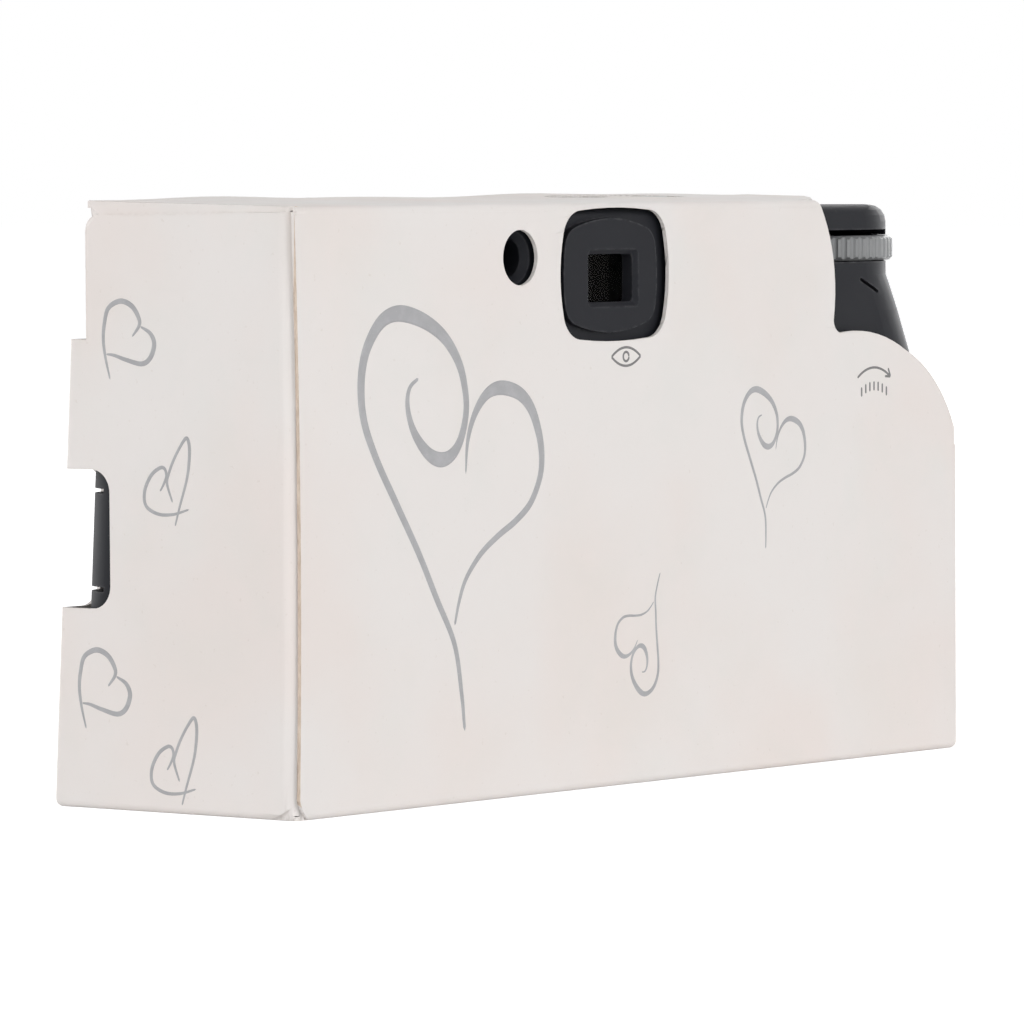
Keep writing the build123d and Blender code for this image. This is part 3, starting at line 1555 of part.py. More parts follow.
with BuildPart() as lens_retainer:
    with BuildSketch(Plane.YZ):
        with BuildLine():
            Polyline(
                (lens_back, film_axis_z + retainer_radius),
                (retainer_front, film_axis_z + retainer_radius),
                (retainer_front, film_axis_z + cone_mouth),
                (lens_back - lens_thick, film_axis_z + lens_radius - lens_front_sag),
                (lens_back - lens_thick + lens_front_sag - slip, film_axis_z + lens_radius - slip),
                (lens_back - lens_thick + lens_front_sag - slip, film_axis_z + lens_radius + slip),
                (lens_back, film_axis_z + lens_radius + slip),
                close=True,
            )
        make_face()
    revolve(axis=Axis((0, 0, film_axis_z), (0, 1, 0)))
lens_retainer.part.label = "lens_retainer"
export_step(lens_retainer.part, "parts/lens_retainer.step")

# Viewfinder: tapering tunnel on the deck with a lens at each end
tunnel_wall = 0.7
finder_back_width = 9.4
finder_back_height = 8.0
finder_lens_thick = 1.5
finder_lens_dish = 0.4
tunnel_back = body_back - wall - slip
tunnel_front = body_front(window_z + finder_front_height / 2 + tunnel_wall) + wall + slip
saddle_width = 7.0

with BuildPart() as viewfinder_tunnel:
    for grow, mode in ((tunnel_wall, Mode.ADD), (0, Mode.SUBTRACT)):
        with BuildSketch(Plane.XZ.offset(-tunnel_back)):
            with Locations((window_x, window_z)):
                Rectangle(finder_back_width + 2 * grow, finder_back_height + 2 * grow)
        with BuildSketch(Plane.XZ.offset(-tunnel_front)):
            with Locations((window_x, window_z)):
                Rectangle(finder_front_width + 2 * grow, finder_front_height + 2 * grow)
        loft(ruled=True, mode=mode)
    with BuildSketch(Plane.XY.offset(deck_z + deck_thick)):
        for saddle_y in (cone_front_y + saddle_width, film_y(0) - saddle_width):
            with Locations((window_x, saddle_y)):
                Rectangle(saddle_width, 2 * tunnel_wall)
    extrude(amount=window_z - finder_back_height / 2 - deck_z - deck_thick - tunnel_wall / 2)
viewfinder_tunnel.part.label = "viewfinder_tunnel"
export_step(viewfinder_tunnel.part, "parts/viewfinder_tunnel.step")

with BuildPart() as viewfinder_back_lens:
    with BuildSketch(Plane.XZ.offset(-tunnel_back + slip)):
        with Locations((window_x, window_z)):
            Rectangle(finder_back_width - 2 * slip, finder_back_height - 2 * slip)
    extrude(amount=finder_lens_thick)
viewfinder_back_lens.part.label = "viewfinder_back_lens"
export_step(viewfinder_back_lens.part, "parts/viewfinder_back_lens.step")

with BuildPart() as viewfinder_front_lens:
    with BuildSketch(Plane.XZ.offset(-tunnel_front - slip - finder_lens_thick)):
        with Locations((window_x, window_z)):
            Rectangle(finder_front_width - 4 * slip, finder_front_height - 4 * slip)
    extrude(amount=finder_lens_thick)
    dish_radius_front = (finder_front_width / 2) ** 2 / (2 * finder_lens_dish)
    with Locations((window_x, tunnel_front - dish_radius_front + finder_lens_dish + slip, window_z)):
        Sphere(dish_radius_front, mode=Mode.SUBTRACT)
viewfinder_front_lens.part.label = "viewfinder_front_lens"
export_step(viewfinder_front_lens.part, "parts/viewfinder_front_lens.step")

# Flash: window, reflector, tube
flash_rib_pitch = 1.35
flash_rib_depth = 0.35
reflector_wall = 0.4
reflector_width = 24.6
reflector_height = 8.0
tube_radius = 1.5
tube_length = 28.0
tube_cap = 2.0

with BuildPart() as flash_window:
    with BuildSketch(front_plane):
        with Locations((flash_x, flash_z)):
            RectangleRounded(
                flash_window_width - 2 * slip,
                flash_window_height - 2 * slip,
                flash_window_corner - slip,
            )
    extrude(amount=-wall)
    flash_rib_count = int((flash_window_width - 2 * wall) / flash_rib_pitch)
    with BuildSketch(front_plane.offset(-wall)):
        with Locations((flash_x, flash_z)):
            with GridLocations(flash_rib_pitch, 0, flash_rib_count, 1):
                Rectangle(flash_rib_pitch / 2, flash_window_height - 2 * wall)
    extrude(amount=flash_rib_depth, mode=Mode.SUBTRACT)
flash_window.part.label = "flash_window"
export_step(flash_window.part, "parts/flash_window.step")

reflector_front = body_front(flash_z + reflector_height / 2 + reflector_wall) + wall + slip
reflector_knee = 4.4
reflector_back_half = 2.6
with BuildPart() as flash_reflector:
    for grow, mode in ((reflector_wall, Mode.ADD), (0, Mode.SUBTRACT)):
        with BuildSketch(Plane.YZ.offset(flash_x - reflector_width / 2 - grow)):
            knee = reflector_front + reflector_knee
            half = reflector_back_half + grow
            tall = reflector_height / 2 + grow
            with BuildLine():
                ThreePointArc(
                    (knee, flash_z - half),
                    (knee + reflector_back_half + grow, flash_z),
                    (knee, flash_z + half),
                )
                Polyline(
                    (knee, flash_z + half),
                    (reflector_front, flash_z + tall),
                    (reflector_front, flash_z - tall),
                    (knee, flash_z - half),
                )
            make_face()
        extrude(amount=reflector_width + 2 * grow, mode=mode)
    tube_y = reflector_front + reflector_knee
    with BuildSketch(Plane.YZ.offset(flash_x - reflector_width)):
        with Locations((tube_y, flash_z)):
            Circle(tube_radius + slip)
    extrude(amount=2 * reflector_width, mode=Mode.SUBTRACT)
flash_reflector.part.label = "flash_reflector"
export_step(flash_reflector.part, "parts/flash_reflector.step")

with BuildPart() as flash_tube:
    with BuildSketch(Plane.YZ.offset(flash_x - tube_length / 2)):
        with Locations((tube_y, flash_z)):
            Circle(tube_radius)
    extrude(amount=tube_length)
    with BuildSketch(Plane.YZ.offset(flash_x - tube_length / 2 - tube_cap)):
        with Locations((tube_y, flash_z)):
            Circle(tube_radius / 2)
    extrude(amount=tube_length + 2 * tube_cap)
flash_tube.part.label = "flash_tube"
export_step(flash_tube.part, "parts/flash_tube.step")

# Bracket that holds the reflector up from the deck
bracket_wall = 1.0
bracket_depth = 6.0
with BuildPart() as flash_bracket:
    bracket_top = flash_z - reflector_height / 2 - reflector_wall
    with BuildSketch(Plane.XY.offset(deck_z + deck_thick)):
        with Locations((flash_x, reflector_front + bracket_depth / 2 + slip)):
            Rectangle(reflector_width, bracket_depth)
            Rectangle(reflector_width - 2 * bracket_wall, bracket_depth - 2 * bracket_wall, mode=Mode.SUBTRACT)
    extrude(amount=bracket_top - deck_z - deck_thick)
    with BuildSketch(Plane.XY.offset(deck_z + deck_thick)):
        with Locations((flash_x, reflector_front + bracket_depth / 2 + slip)):
            Rectangle(reflector_width, bracket_depth)
    extrude(amount=bracket_wall)
flash_bracket.part.label = "flash_bracket"
export_step(flash_bracket.part, "parts/flash_bracket.step")

# Flash circuit: board, capacitor, transformer, trigger coil, switch leaf and ready lamp
board_thick = 1.2
board_back_y = supply_y - supply_radius - chamber_wall - 2 * slip
board_low = 19.0
board_high = 46.0
board_right = 28.6
board_left = 53.6
board_corner = 1.0
capacitor_radius = 6.3
capacitor_length = 27.0
capacitor_x = 21.0
capacitor_y = -5.4
capacitor_rim = 0.7
capacitor_groove = 0.5
lead_radius = 0.3
transformer_wide = 6.2
transformer_deep = 5.4
transformer_high = 9.0
transformer_x = 31.0
transformer_z = 26.0
bobbin_inset = 0.8
core_share = 0.6
coil_radius = 2.2
coil_height = 6.5
coil_x = 20.0
coil_y = -4.0
coil_flange = 0.6
chip_wide = 3.0
chip_high = 1.8
chip_thick = 1.0
chip_rows = 2
chip_columns = 3
chip_pitch_x = 5.0
chip_pitch_z = 4.0
chip_x = 43.0
chip_z = 25.0

board_front_y = board_back_y - board_thick
with BuildPart() as flash_board:
    with BuildSketch(Plane.XZ.offset(-board_back_y)):
        with Locations(((board_right + board_left) / 2, (board_low + board_high) / 2)):
            RectangleRounded(board_left - board_right, board_high - board_low, board_corner)
    extrude(amount=board_thick)
    with BuildSketch(Plane.XZ.offset(-board_front_y)):
        with Locations((chip_x, chip_z)):
            with GridLocations(chip_pitch_x, chip_pitch_z, chip_columns, chip_rows):
                Rectangle(chip_wide, chip_high)
    extrude(amount=chip_thick)
flash_board.part.label = "flash_board"
export_step(flash_board.part, "parts/flash_board.step")

with BuildPart() as flash_capacitor:
    capacitor_z = (board_low + board_high) / 2
    with BuildSketch(Plane.XZ.offset(-capacitor_y)):
        with BuildLine():
            low = capacitor_z - capacitor_length / 2
            high = capacitor_z + capacitor_length / 2
            groove_z = low + 2 * capacitor_rim
            edge = capacitor_x + capacitor_radius
            Polyline(
                (capacitor_x, low),
                (edge - capacitor_rim, low),
                (edge, low + capacitor_rim),
                (edge, groove_z),
                (edge - capacitor_groove, groove_z + capacitor_groove),
                (edge, groove_z + 2 * capacitor_groove),
                (edge, high - capacitor_rim),
                (edge - capacitor_rim, high),
                (capacitor_x, high),
                close=True,
            )
        make_face()
    revolve(axis=Axis((capacitor_x, capacitor_y, 0), (0, 0, 1)))
flash_capacitor.part.label = "flash_capacitor"
export_step(flash_capacitor.part, "parts/flash_capacitor.step")

with BuildPart() as transformer:
    with Locations((transformer_x, board_back_y + transformer_deep / 2, transformer_z)):
        Box(transformer_wide, transformer_deep, transformer_high)
        Box(
            transformer_wide + bobbin_inset,
            transformer_deep + bobbin_inset,
            core_share * transformer_high,
            mode=Mode.SUBTRACT,
        )
        Box(transformer_wide - bobbin_inset, transformer_deep - bobbin_inset, transformer_high)
transformer.part.label = "transformer"
export_step(transformer.part, "parts/transformer.step")

with BuildPart() as trigger_coil:
    with Locations((coil_x, coil_y, deck_z + deck_thick)):
        Cylinder(coil_radius, coil_flange, align=(Align.CENTER, Align.CENTER, Align.MIN))
        Cylinder(coil_radius - coil_flange, coil_height, align=(Align.CENTER, Align.CENTER, Align.MIN))
    with Locations((coil_x, coil_y, deck_z + deck_thick + coil_height)):
        Cylinder(coil_radius, coil_flange, align=(Align.CENTER, Align.CENTER, Align.MAX))
trigger_coil.part.label = "trigger_coil"
export_step(trigger_coil.part, "parts/trigger_coil.step")

# Switch leaf on the board, and the charge button in front of it
leaf_thick = 0.2
leaf_rise = 0.35
leaf_length = 9.0
leaf_width = 3.2
charge_flange = 4.7
charge_flange_thick = 0.8

with BuildPart() as switch_leaf:
    with BuildSketch(Plane.XY.offset(charge_z - leaf_width / 2)):
        with BuildLine():
            ThreePointArc(
                (charge_x - leaf_length / 2, board_front_y),
                (charge_x, board_front_y - leaf_rise),
                (charge_x + leaf_length / 2, board_front_y),
            )
            Line(
                (charge_x + leaf_length / 2, board_front_y),
                (charge_x + leaf_length / 2 - leaf_thick, board_front_y),
            )
            ThreePointArc(
                (charge_x + leaf_length / 2 - leaf_thick, board_front_y),
                (charge_x, board_front_y - leaf_rise + leaf_thick),
                (charge_x - leaf_length / 2 + leaf_thick, board_front_y),
            )
            Line(
                (charge_x - leaf_length / 2 + leaf_thick, board_front_y),
                (charge_x - leaf_length / 2, board_front_y),
            )
        make_face()
    extrude(amount=leaf_width)
switch_leaf.part.label = "switch_leaf"
export_step(switch_leaf.part, "parts/switch_leaf.step")

charge_front = card_front(charge_z + charge_radius) + slip
charge_seat = body_front(charge_z + charge_flange) + wall + 2 * slip
with BuildPart() as charge_button:
    with BuildSketch(Plane.XZ.offset(-charge_front)):
        with Locations((charge_x, charge_z)):
            Circle(charge_radius)
    extrude(amount=-(charge_seat + charge_flange_thick - charge_front))
    fillet(charge_button.faces().sort_by(Axis.Y)[0].edges(), button_edge / 2)
    with BuildSketch(Plane.XZ.offset(-charge_seat)):
        with Locations((charge_x, charge_z)):
            Circle(charge_flange)
    extrude(amount=-charge_flange_thick)
charge_button.part.label = "charge_button"
export_step(charge_button.part, "parts/charge_button.step")

lamp_length = 10.0
lamp_dome = 1.6
with BuildPart() as ready_lamp:
    with BuildSketch(Plane.XZ.offset(-body_back + lamp_sink)):
        with Locations((lamp_x, lamp_z)):
            Circle(lamp_radius)
    extrude(amount=lamp_length - lamp_sink)
    fillet(ready_lamp.faces().sort_by(Axis.Y)[-1].edges(), lamp_dome)
    with BuildSketch(Plane.XZ.offset(-body_back + lamp_length)):
        with Locations((lamp_x, lamp_z)):
            with GridLocations(lamp_radius, 0, 2, 1):
                Circle(lead_radius)
    extrude(amount=2 * lamp_dome)
    with BuildSketch(Plane.XY.offset(deck_z + deck_thick)):
        with Locations((lamp_x, body_back - lamp_length - 2 * lamp_dome)):
            with GridLocations(lamp_radius, 0, 2, 1):
                Circle(lead_radius)
    extrude(amount=lamp_z - deck_z - deck_thick)
ready_lamp.part.label = "ready_lamp"
export_step(ready_lamp.part, "parts/ready_lamp.step")

# Battery in the foot of the body, with a contact strip at each end
nub_radius = 2.7
nub_length = 1.0
battery_edge = 0.5
contact_thick = 0.4
contact_width = 6.0
contact_dimple = 0.5
contact_high = 18.0

with BuildPart() as battery:
    with BuildSketch(Plane.YZ.offset(-battery_length / 2)):
        with Locations((battery_y, battery_z)):
            Circle(battery_radius)
    extrude(amount=battery_length)
    fillet(battery.edges().filter_by(GeomType.CIRCLE), battery_edge)
    with BuildSketch(Plane.YZ.offset(battery_length / 2)):
        with Locations((battery_y, battery_z)):
            Circle(nub_radius)
    extrude(amount=nub_length)
battery.part.label = "battery"
export_step(battery.part, "parts/battery.step")

contact_names = ("negative_contact", "positive_contact")
contact_low = chamber_floor + frame_floor_thick
for name, side, face_x in (
    (contact_names[0], -1, -battery_length / 2 - contact_dimple),
    (contact_names[1], 1, battery_length / 2 + nub_length),
):
    with BuildPart() as contact:
        with BuildSketch(Plane.YZ.offset(face_x)):
            with Locations((battery_y, (contact_low + contact_high) / 2)):
                RectangleRounded(contact_width, contact_high - contact_low, contact_thick)
        extrude(amount=side * contact_thick)
        if side < 0:
            with BuildSketch(Plane.YZ.offset(face_x)):
                with Locations((battery_y, battery_z)):
                    Circle(nub_radius)
            extrude(amount=contact_dimple)
    contact.part.label = name
    export_step(contact.part, f"parts/{name}.step")

# Sprung finger that stops the wheel turning back, on a post from the deck
pawl_low = wheel_bottom - ratchet_thick
pawl_angle = 20.0
pawl_length = 9.0
pawl_wide = 0.8
pawl_gap = 0.15
pawl_post = 1.6
with BuildPart() as wheel_pawl:
    tip = Vector(ratchet_radius + pawl_gap, 0).rotate(Axis.Z, pawl_angle)
    heel = tip + Vector(0, -pawl_length).rotate(Axis.Z, pawl_angle + pawl_angle)
    middle = Vector(cassette_x, cassette_y)
    along = (heel - tip).normalized()
    across = Vector(-along.Y, along.X) * pawl_wide
    with BuildSketch(Plane.XY.offset(pawl_low)):
        with BuildLine():
            Polyline(
                middle + tip,
                middle + heel,
                middle + heel + across,
                middle + tip + along * pawl_wide + across,
                close=True,
            )
        make_face()
    extrude(amount=ratchet_thick)
    with BuildSketch(Plane.XY.offset(deck_z + deck_thick)):
        with Locations(middle + heel + across / 2):
            Circle(pawl_post)
    extrude(amount=wheel_bottom - ratchet_thick / 2 - deck_z - deck_thick - ratchet_thick / 2)
wheel_pawl.part.label = "wheel_pawl"
export_step(wheel_pawl.part, "parts/wheel_pawl.step")
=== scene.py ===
import math
import bmesh
import bpy
import numpy as np
from mathutils import Matrix, Vector


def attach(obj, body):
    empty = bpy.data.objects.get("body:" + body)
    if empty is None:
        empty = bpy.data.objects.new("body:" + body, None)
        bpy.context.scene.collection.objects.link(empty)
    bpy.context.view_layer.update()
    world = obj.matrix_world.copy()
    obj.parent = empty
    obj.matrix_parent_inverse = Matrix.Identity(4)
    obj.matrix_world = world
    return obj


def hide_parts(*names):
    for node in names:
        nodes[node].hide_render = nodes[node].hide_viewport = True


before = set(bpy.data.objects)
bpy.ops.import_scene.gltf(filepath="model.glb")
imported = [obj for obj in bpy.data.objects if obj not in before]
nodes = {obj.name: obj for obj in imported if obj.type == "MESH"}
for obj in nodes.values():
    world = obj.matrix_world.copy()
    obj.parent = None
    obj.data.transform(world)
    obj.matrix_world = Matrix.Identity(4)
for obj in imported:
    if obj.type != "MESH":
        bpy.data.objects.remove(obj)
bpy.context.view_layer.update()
mm = 0.001
print("stage 1: frame loaded,", len(nodes), "nodes")


# Small helpers for shader trees
def makeGroup(name, inputs, outputs):
    group = bpy.data.node_groups.new(name, "ShaderNodeTree")
    for label, kind, value in inputs:
        socket = group.interface.new_socket(name=label, in_out="INPUT", socket_type=kind)
        socket.default_value = value
    for label, kind in outputs:
        group.interface.new_socket(name=label, in_out="OUTPUT", socket_type=kind)
    source = group.nodes.new("NodeGroupInput")
    target = group.nodes.new("NodeGroupOutput")
    return group, source.outputs, target.inputs


def link(tree, start, end):
    tree.links.new(start, end)


# A value may be a number, or a socket that is linked
def mathNode(tree, operation, a, b, clamp=False):
    node = tree.nodes.new("ShaderNodeMath")
    node.operation = operation
    node.use_clamp = clamp
    for socket, value in zip(node.inputs, (a, b)):
        if isinstance(value, (int, float)):
            socket.default_value = value
        else:
            link(tree, value, socket)
    return node.outputs[0]


def mixColour(tree, factor, a, b, blend="MIX"):
    node = tree.nodes.new("ShaderNodeMix")
    node.data_type = "RGBA"
    node.blend_type = blend
    sockets = [node.inputs[0], node.inputs[6], node.inputs[7]]
    for socket, value in zip(sockets, (factor, a, b)):
        if isinstance(value, (int, float)):
            socket.default_value = value
        elif isinstance(value, tuple):
            socket.default_value = value if len(value) == 4 else (*value, 1)
        else:
            link(tree, value, socket)
    return node.outputs[2]


def noiseNode(tree, scale, detail, roughness, place, distortion=0.0):
    node = tree.nodes.new("ShaderNodeTexNoise")
    if isinstance(scale, (int, float)):
        node.inputs["Scale"].default_value = scale
    else:
        link(tree, scale, node.inputs["Scale"])
    node.inputs["Detail"].default_value = detail
    node.inputs["Roughness"].default_value = roughness
    node.inputs["Distortion"].default_value = distortion
    link(tree, place, node.inputs["Vector"])
    return node.outputs[0]


def ramp(tree, value, low, high, outLow=0.0, outHigh=1.0):
    node = tree.nodes.new("ShaderNodeMapRange")
    node.interpolation_type = "SMOOTHSTEP"
    for name, item in (("From Min", low), ("From Max", high), ("To Min", outLow), ("To Max", outHigh)):
        node.inputs[name].default_value = item
    link(tree, value, node.inputs["Value"])
    return node.outputs["Result"]


def objectCoords(tree, stretch=(1, 1, 1)):
    place = tree.nodes.new("ShaderNodeTexCoord")
    if stretch == (1, 1, 1):
        return place.outputs["Object"]
    mapping = tree.nodes.new("ShaderNodeMapping")
    mapping.inputs["Scale"].default_value = stretch
    link(tree, place.outputs["Object"], mapping.inputs["Vector"])
    return mapping.outputs[0]


# A noise turned into patches: outLow below one of its levels, outHigh above another
def patches(tree, place, look):
    noise = noiseNode(tree, look["scale"], look["detail"], look["roughness"], place, look.get("twist", 0.0))
    return ramp(tree, noise, look["low"], look["high"], look.get("outLow", 0.0), look.get("outHigh", 1.0))


def placeGroup(tree, group):
    node = tree.nodes.new("ShaderNodeGroup")
    node.node_tree = group
    return node


# Edge mask: where the rounded normal leaves the true one, broken up by a fine noise
# "flat" and "sharp" are cosines of the angle between the two
edgeLook = {
    "width": 0.0004,
    "samples": 4,
    "flat": 0.995,
    "sharp": 0.86,
    "breakScale": 900.0,
    "grain": dict(detail=3.0, roughness=0.6, low=0.35, high=0.65),
}


def buildEdgeGroup():
    group, inp, out = makeGroup(
        "edgeRub",
        [
            ("Width", "NodeSocketFloat", edgeLook["width"]),
            ("Amount", "NodeSocketFloat", 1.0),
            ("Break", "NodeSocketFloat", edgeLook["breakScale"]),
        ],
        [("Mask", "NodeSocketFloat")],
    )
    bevel = group.nodes.new("ShaderNodeBevel")
    bevel.samples = edgeLook["samples"]
    link(group, inp["Width"], bevel.inputs["Radius"])
    geometry = group.nodes.new("ShaderNodeNewGeometry")
    dot = group.nodes.new("ShaderNodeVectorMath")
    dot.operation = "DOT_PRODUCT"
    link(group, bevel.outputs[0], dot.inputs[0])
    link(group, geometry.outputs["Normal"], dot.inputs[1])
    edge = ramp(group, dot.outputs["Value"], edgeLook["flat"], edgeLook["sharp"])
    grain = patches(group, objectCoords(group), dict(edgeLook["grain"], scale=inp["Break"]))
    mask = mathNode(group, "MULTIPLY", edge, grain)
    link(group, mathNode(group, "MULTIPLY", mask, inp["Amount"], True), out["Mask"])
    return group


# Dust: settles on what faces up, in cloudy patches with a few specks
dustLook = {
    "amount": 0.3,
    "upward": dict(low=-0.2, high=0.9, outLow=0.15),
    "cloud": dict(scale=130.0, detail=5.0, roughness=0.6, low=0.42, high=0.72),
    "cloudShare": 0.6,
    "speck": dict(scale=2600.0, detail=1.0, roughness=0.5, low=0.66, high=0.74),
    "speckShare": 0.8,
}


def buildDustGroup():
    group, inp, out = makeGroup(
        "settledDust",
        [("Amount", "NodeSocketFloat", dustLook["amount"])],
        [("Mask", "NodeSocketFloat")],
    )
    geometry = group.nodes.new("ShaderNodeNewGeometry")
    split = group.nodes.new("ShaderNodeSeparateXYZ")
    link(group, geometry.outputs["Normal"], split.inputs[0])
    upward = ramp(group, split.outputs["Z"], **dustLook["upward"])
    place = objectCoords(group)
    cloud = mathNode(group, "MULTIPLY", patches(group, place, dustLook["cloud"]), dustLook["cloudShare"])
    speck = mathNode(group, "MULTIPLY", patches(group, place, dustLook["speck"]), dustLook["speckShare"])
    both = mathNode(group, "ADD", cloud, speck, True)
    mask = mathNode(group, "MULTIPLY", both, upward)
    link(group, mathNode(group, "MULTIPLY", mask, inp["Amount"], True), out["Mask"])
    return group


# Moulded grain: fine rounded bumps, with a slow drift of tone and gloss, rubbed edges and dust
mouldLook = {
    "grainDetail": 2.0,
    "grainRoughness": 0.5,
    "driftScale": 90.0,
    "driftDetail": 3.0,
    "toneDrift": dict(low=0.3, high=0.7, outHigh=0.35),
    "toneColour": (1.35, 1.33, 1.3),
    "glossDrift": dict(low=0.25, high=0.75, outLow=-0.06, outHigh=0.06),
    "rubColour": (0.42, 0.42, 0.43),
    "rubShare": 0.35,
    "rubPolish": 0.12,
    "dustColour": (0.5, 0.48, 0.45),
    "dustShare": 0.5,
    "dustDulling": 0.25,
}


def buildMouldGroup():
    group, inp, out = makeGroup(
        "mouldGrain",
        [
            ("Color", "NodeSocketColor", (0.02, 0.02, 0.022, 1)),
            ("Rough", "NodeSocketFloat", 0.5),
            ("Scale", "NodeSocketFloat", 4200.0),
            ("Wear", "NodeSocketFloat", 0.5),
            ("Dust", "NodeSocketFloat", 0.3),
        ],
        [("Color", "NodeSocketColor"), ("Roughness", "NodeSocketFloat"), ("Height", "NodeSocketFloat")],
    )
    look = mouldLook
    place = objectCoords(group)
    fine = noiseNode(group, inp["Scale"], look["grainDetail"], look["grainRoughness"], place)
    slow = noiseNode(group, look["driftScale"], look["driftDetail"], look["grainRoughness"], place)
    edge = placeGroup(group, edgeGroup)
    link(group, inp["Wear"], edge.inputs["Amount"])
    dust = placeGroup(group, dustGroup)
    link(group, inp["Dust"], dust.inputs["Amount"])
    toneShare = ramp(group, slow, **look["toneDrift"])
    toned = mixColour(group, toneShare, inp["Color"], look["toneColour"], "MULTIPLY")
    rubShare = mathNode(group, "MULTIPLY", edge.outputs[0], look["rubShare"])
    rubbed = mixColour(group, rubShare, toned, look["rubColour"])
    dustShare = mathNode(group, "MULTIPLY", dust.outputs[0], look["dustShare"])
    link(group, mixColour(group, dustShare, rubbed, look["dustColour"]), out["Color"])
    drift = mathNode(group, "ADD", inp["Rough"], ramp(group, slow, **look["glossDrift"]))
    polish = mathNode(group, "MULTIPLY", edge.outputs[0], look["rubPolish"])
    shine = mathNode(group, "SUBTRACT", drift, polish)
    dulled = mathNode(group, "MULTIPLY", dust.outputs[0], look["dustDulling"])
    link(group, mathNode(group, "ADD", shine, dulled, True), out["Roughness"])
    link(group, fine, out["Height"])
    return group


# Coated card: faint warm and cool mottling, short fibres in the coat, greyed at its folds and cut edges
cardLook = {
    "warm": dict(scale=34.0, detail=3.0, roughness=0.5, low=0.38, high=0.66),
    "warmColour": (1.0, 0.965, 0.95),
    "cool": dict(scale=75.0, detail=4.0, roughness=0.6, twist=0.4, low=0.45, high=0.7, outHigh=0.6),
    "coolColour": (0.965, 0.985, 0.98),
    "fleck": dict(scale=1800.0, detail=2.0, roughness=0.5, low=0.68, high=0.78, outHigh=0.25),
    "fleckColour": (0.62, 0.56, 0.5),
    "fibreScales": (900, 2600, 2600),
    "fibreDetail": 3.0,
    "fibreRoughness": 0.65,
    "edgeWidth": 0.0005,
    "rubColour": (0.5, 0.44, 0.4),
    "rubShare": 0.4,
    "rubDulling": 0.25,
    "gloss": dict(scale=420.0, detail=4.0, roughness=0.6, low=0.3, high=0.7, outLow=0.42, outHigh=0.55),
    "waveScale": 55.0,
    "waveDetail": 2.0,
    "waveRoughness": 0.4,
    "waveHeight": 9.0,
}


def buildCardGroup():
    group, inp, out = makeGroup(
        "cardStock",
        [("Color", "NodeSocketColor", (0.8, 0.76, 0.74, 1)), ("Wear", "NodeSocketFloat", 0.5)],
        [("Color", "NodeSocketColor"), ("Roughness", "NodeSocketFloat"), ("Height", "NodeSocketFloat")],
    )
    look = cardLook
    place = objectCoords(group)
    warmShare = patches(group, place, look["warm"])
    warm = mixColour(group, warmShare, inp["Color"], look["warmColour"], "MULTIPLY")
    coolShare = patches(group, place, look["cool"])
    cool = mixColour(group, coolShare, warm, look["coolColour"], "MULTIPLY")
    along = objectCoords(group, look["fibreScales"])
    fibre = noiseNode(group, 1.0, look["fibreDetail"], look["fibreRoughness"], along)
    fleck = mixColour(group, patches(group, place, look["fleck"]), cool, look["fleckColour"])
    edge = placeGroup(group, edgeGroup)
    edge.inputs["Width"].default_value = look["edgeWidth"]
    link(group, inp["Wear"], edge.inputs["Amount"])
    rubShare = mathNode(group, "MULTIPLY", edge.outputs[0], look["rubShare"])
    link(group, mixColour(group, rubShare, fleck, look["rubColour"]), out["Color"])
    gloss = patches(group, place, look["gloss"])
    dulled = mathNode(group, "MULTIPLY", edge.outputs[0], look["rubDulling"])
    link(group, mathNode(group, "ADD", gloss, dulled, True), out["Roughness"])
    wave = noiseNode(group, look["waveScale"], look["waveDetail"], look["waveRoughness"], place)
    raised = mathNode(group, "MULTIPLY", wave, look["waveHeight"])
    link(group, mathNode(group, "ADD", fibre, raised), out["Height"])
    return group


# Drawn or rolled metal: streaks along one axis, tarnish in patches
metalLook = {
    "streakScales": (220, 220, 5200),
    "streakDetail": 3.0,
    "streakRoughness": 0.6,
    "streakTone": dict(low=0.35, high=0.65, outHigh=0.25),
    "streakColour": (0.8, 0.8, 0.8),
    "streakGloss": dict(low=0.3, high=0.7, outLow=-0.08, outHigh=0.1),
    "tarnish": dict(scale=160.0, detail=5.0, roughness=0.65, low=0.5, high=0.75),
    "tarnishColour": (0.62, 0.55, 0.46),
    "tarnishDulling": 0.15,
}


def buildMetalGroup():
    group, inp, out = makeGroup(
        "rolledMetal",
        [
            ("Color", "NodeSocketColor", (0.6, 0.6, 0.6, 1)),
            ("Rough", "NodeSocketFloat", 0.3),
            ("Tarnish", "NodeSocketFloat", 0.3),
        ],
        [("Color", "NodeSocketColor"), ("Roughness", "NodeSocketFloat"), ("Height", "NodeSocketFloat")],
    )
    look = metalLook
    along = objectCoords(group, look["streakScales"])
    streak = noiseNode(group, 1.0, look["streakDetail"], look["streakRoughness"], along)
    patch = patches(group, objectCoords(group), look["tarnish"])
    tarnished = mathNode(group, "MULTIPLY", patch, inp["Tarnish"])
    dull = mixColour(group, tarnished, inp["Color"], look["tarnishColour"], "MULTIPLY")
    lines = ramp(group, streak, **look["streakTone"])
    link(group, mixColour(group, lines, dull, look["streakColour"], "MULTIPLY"), out["Color"])
    rough = mathNode(group, "ADD", inp["Rough"], ramp(group, streak, **look["streakGloss"]))
    dulled = mathNode(group, "MULTIPLY", patch, look["tarnishDulling"])
    link(group, mathNode(group, "ADD", rough, dulled, True), out["Roughness"])
    link(group, streak, out["Height"])
    return group


edgeGroup = buildEdgeGroup()
dustGroup = buildDustGroup()
mouldGroup = buildMouldGroup()
cardGroup = buildCardGroup()
metalGroup = buildMetalGroup()
print("stage 2: finish groups built")


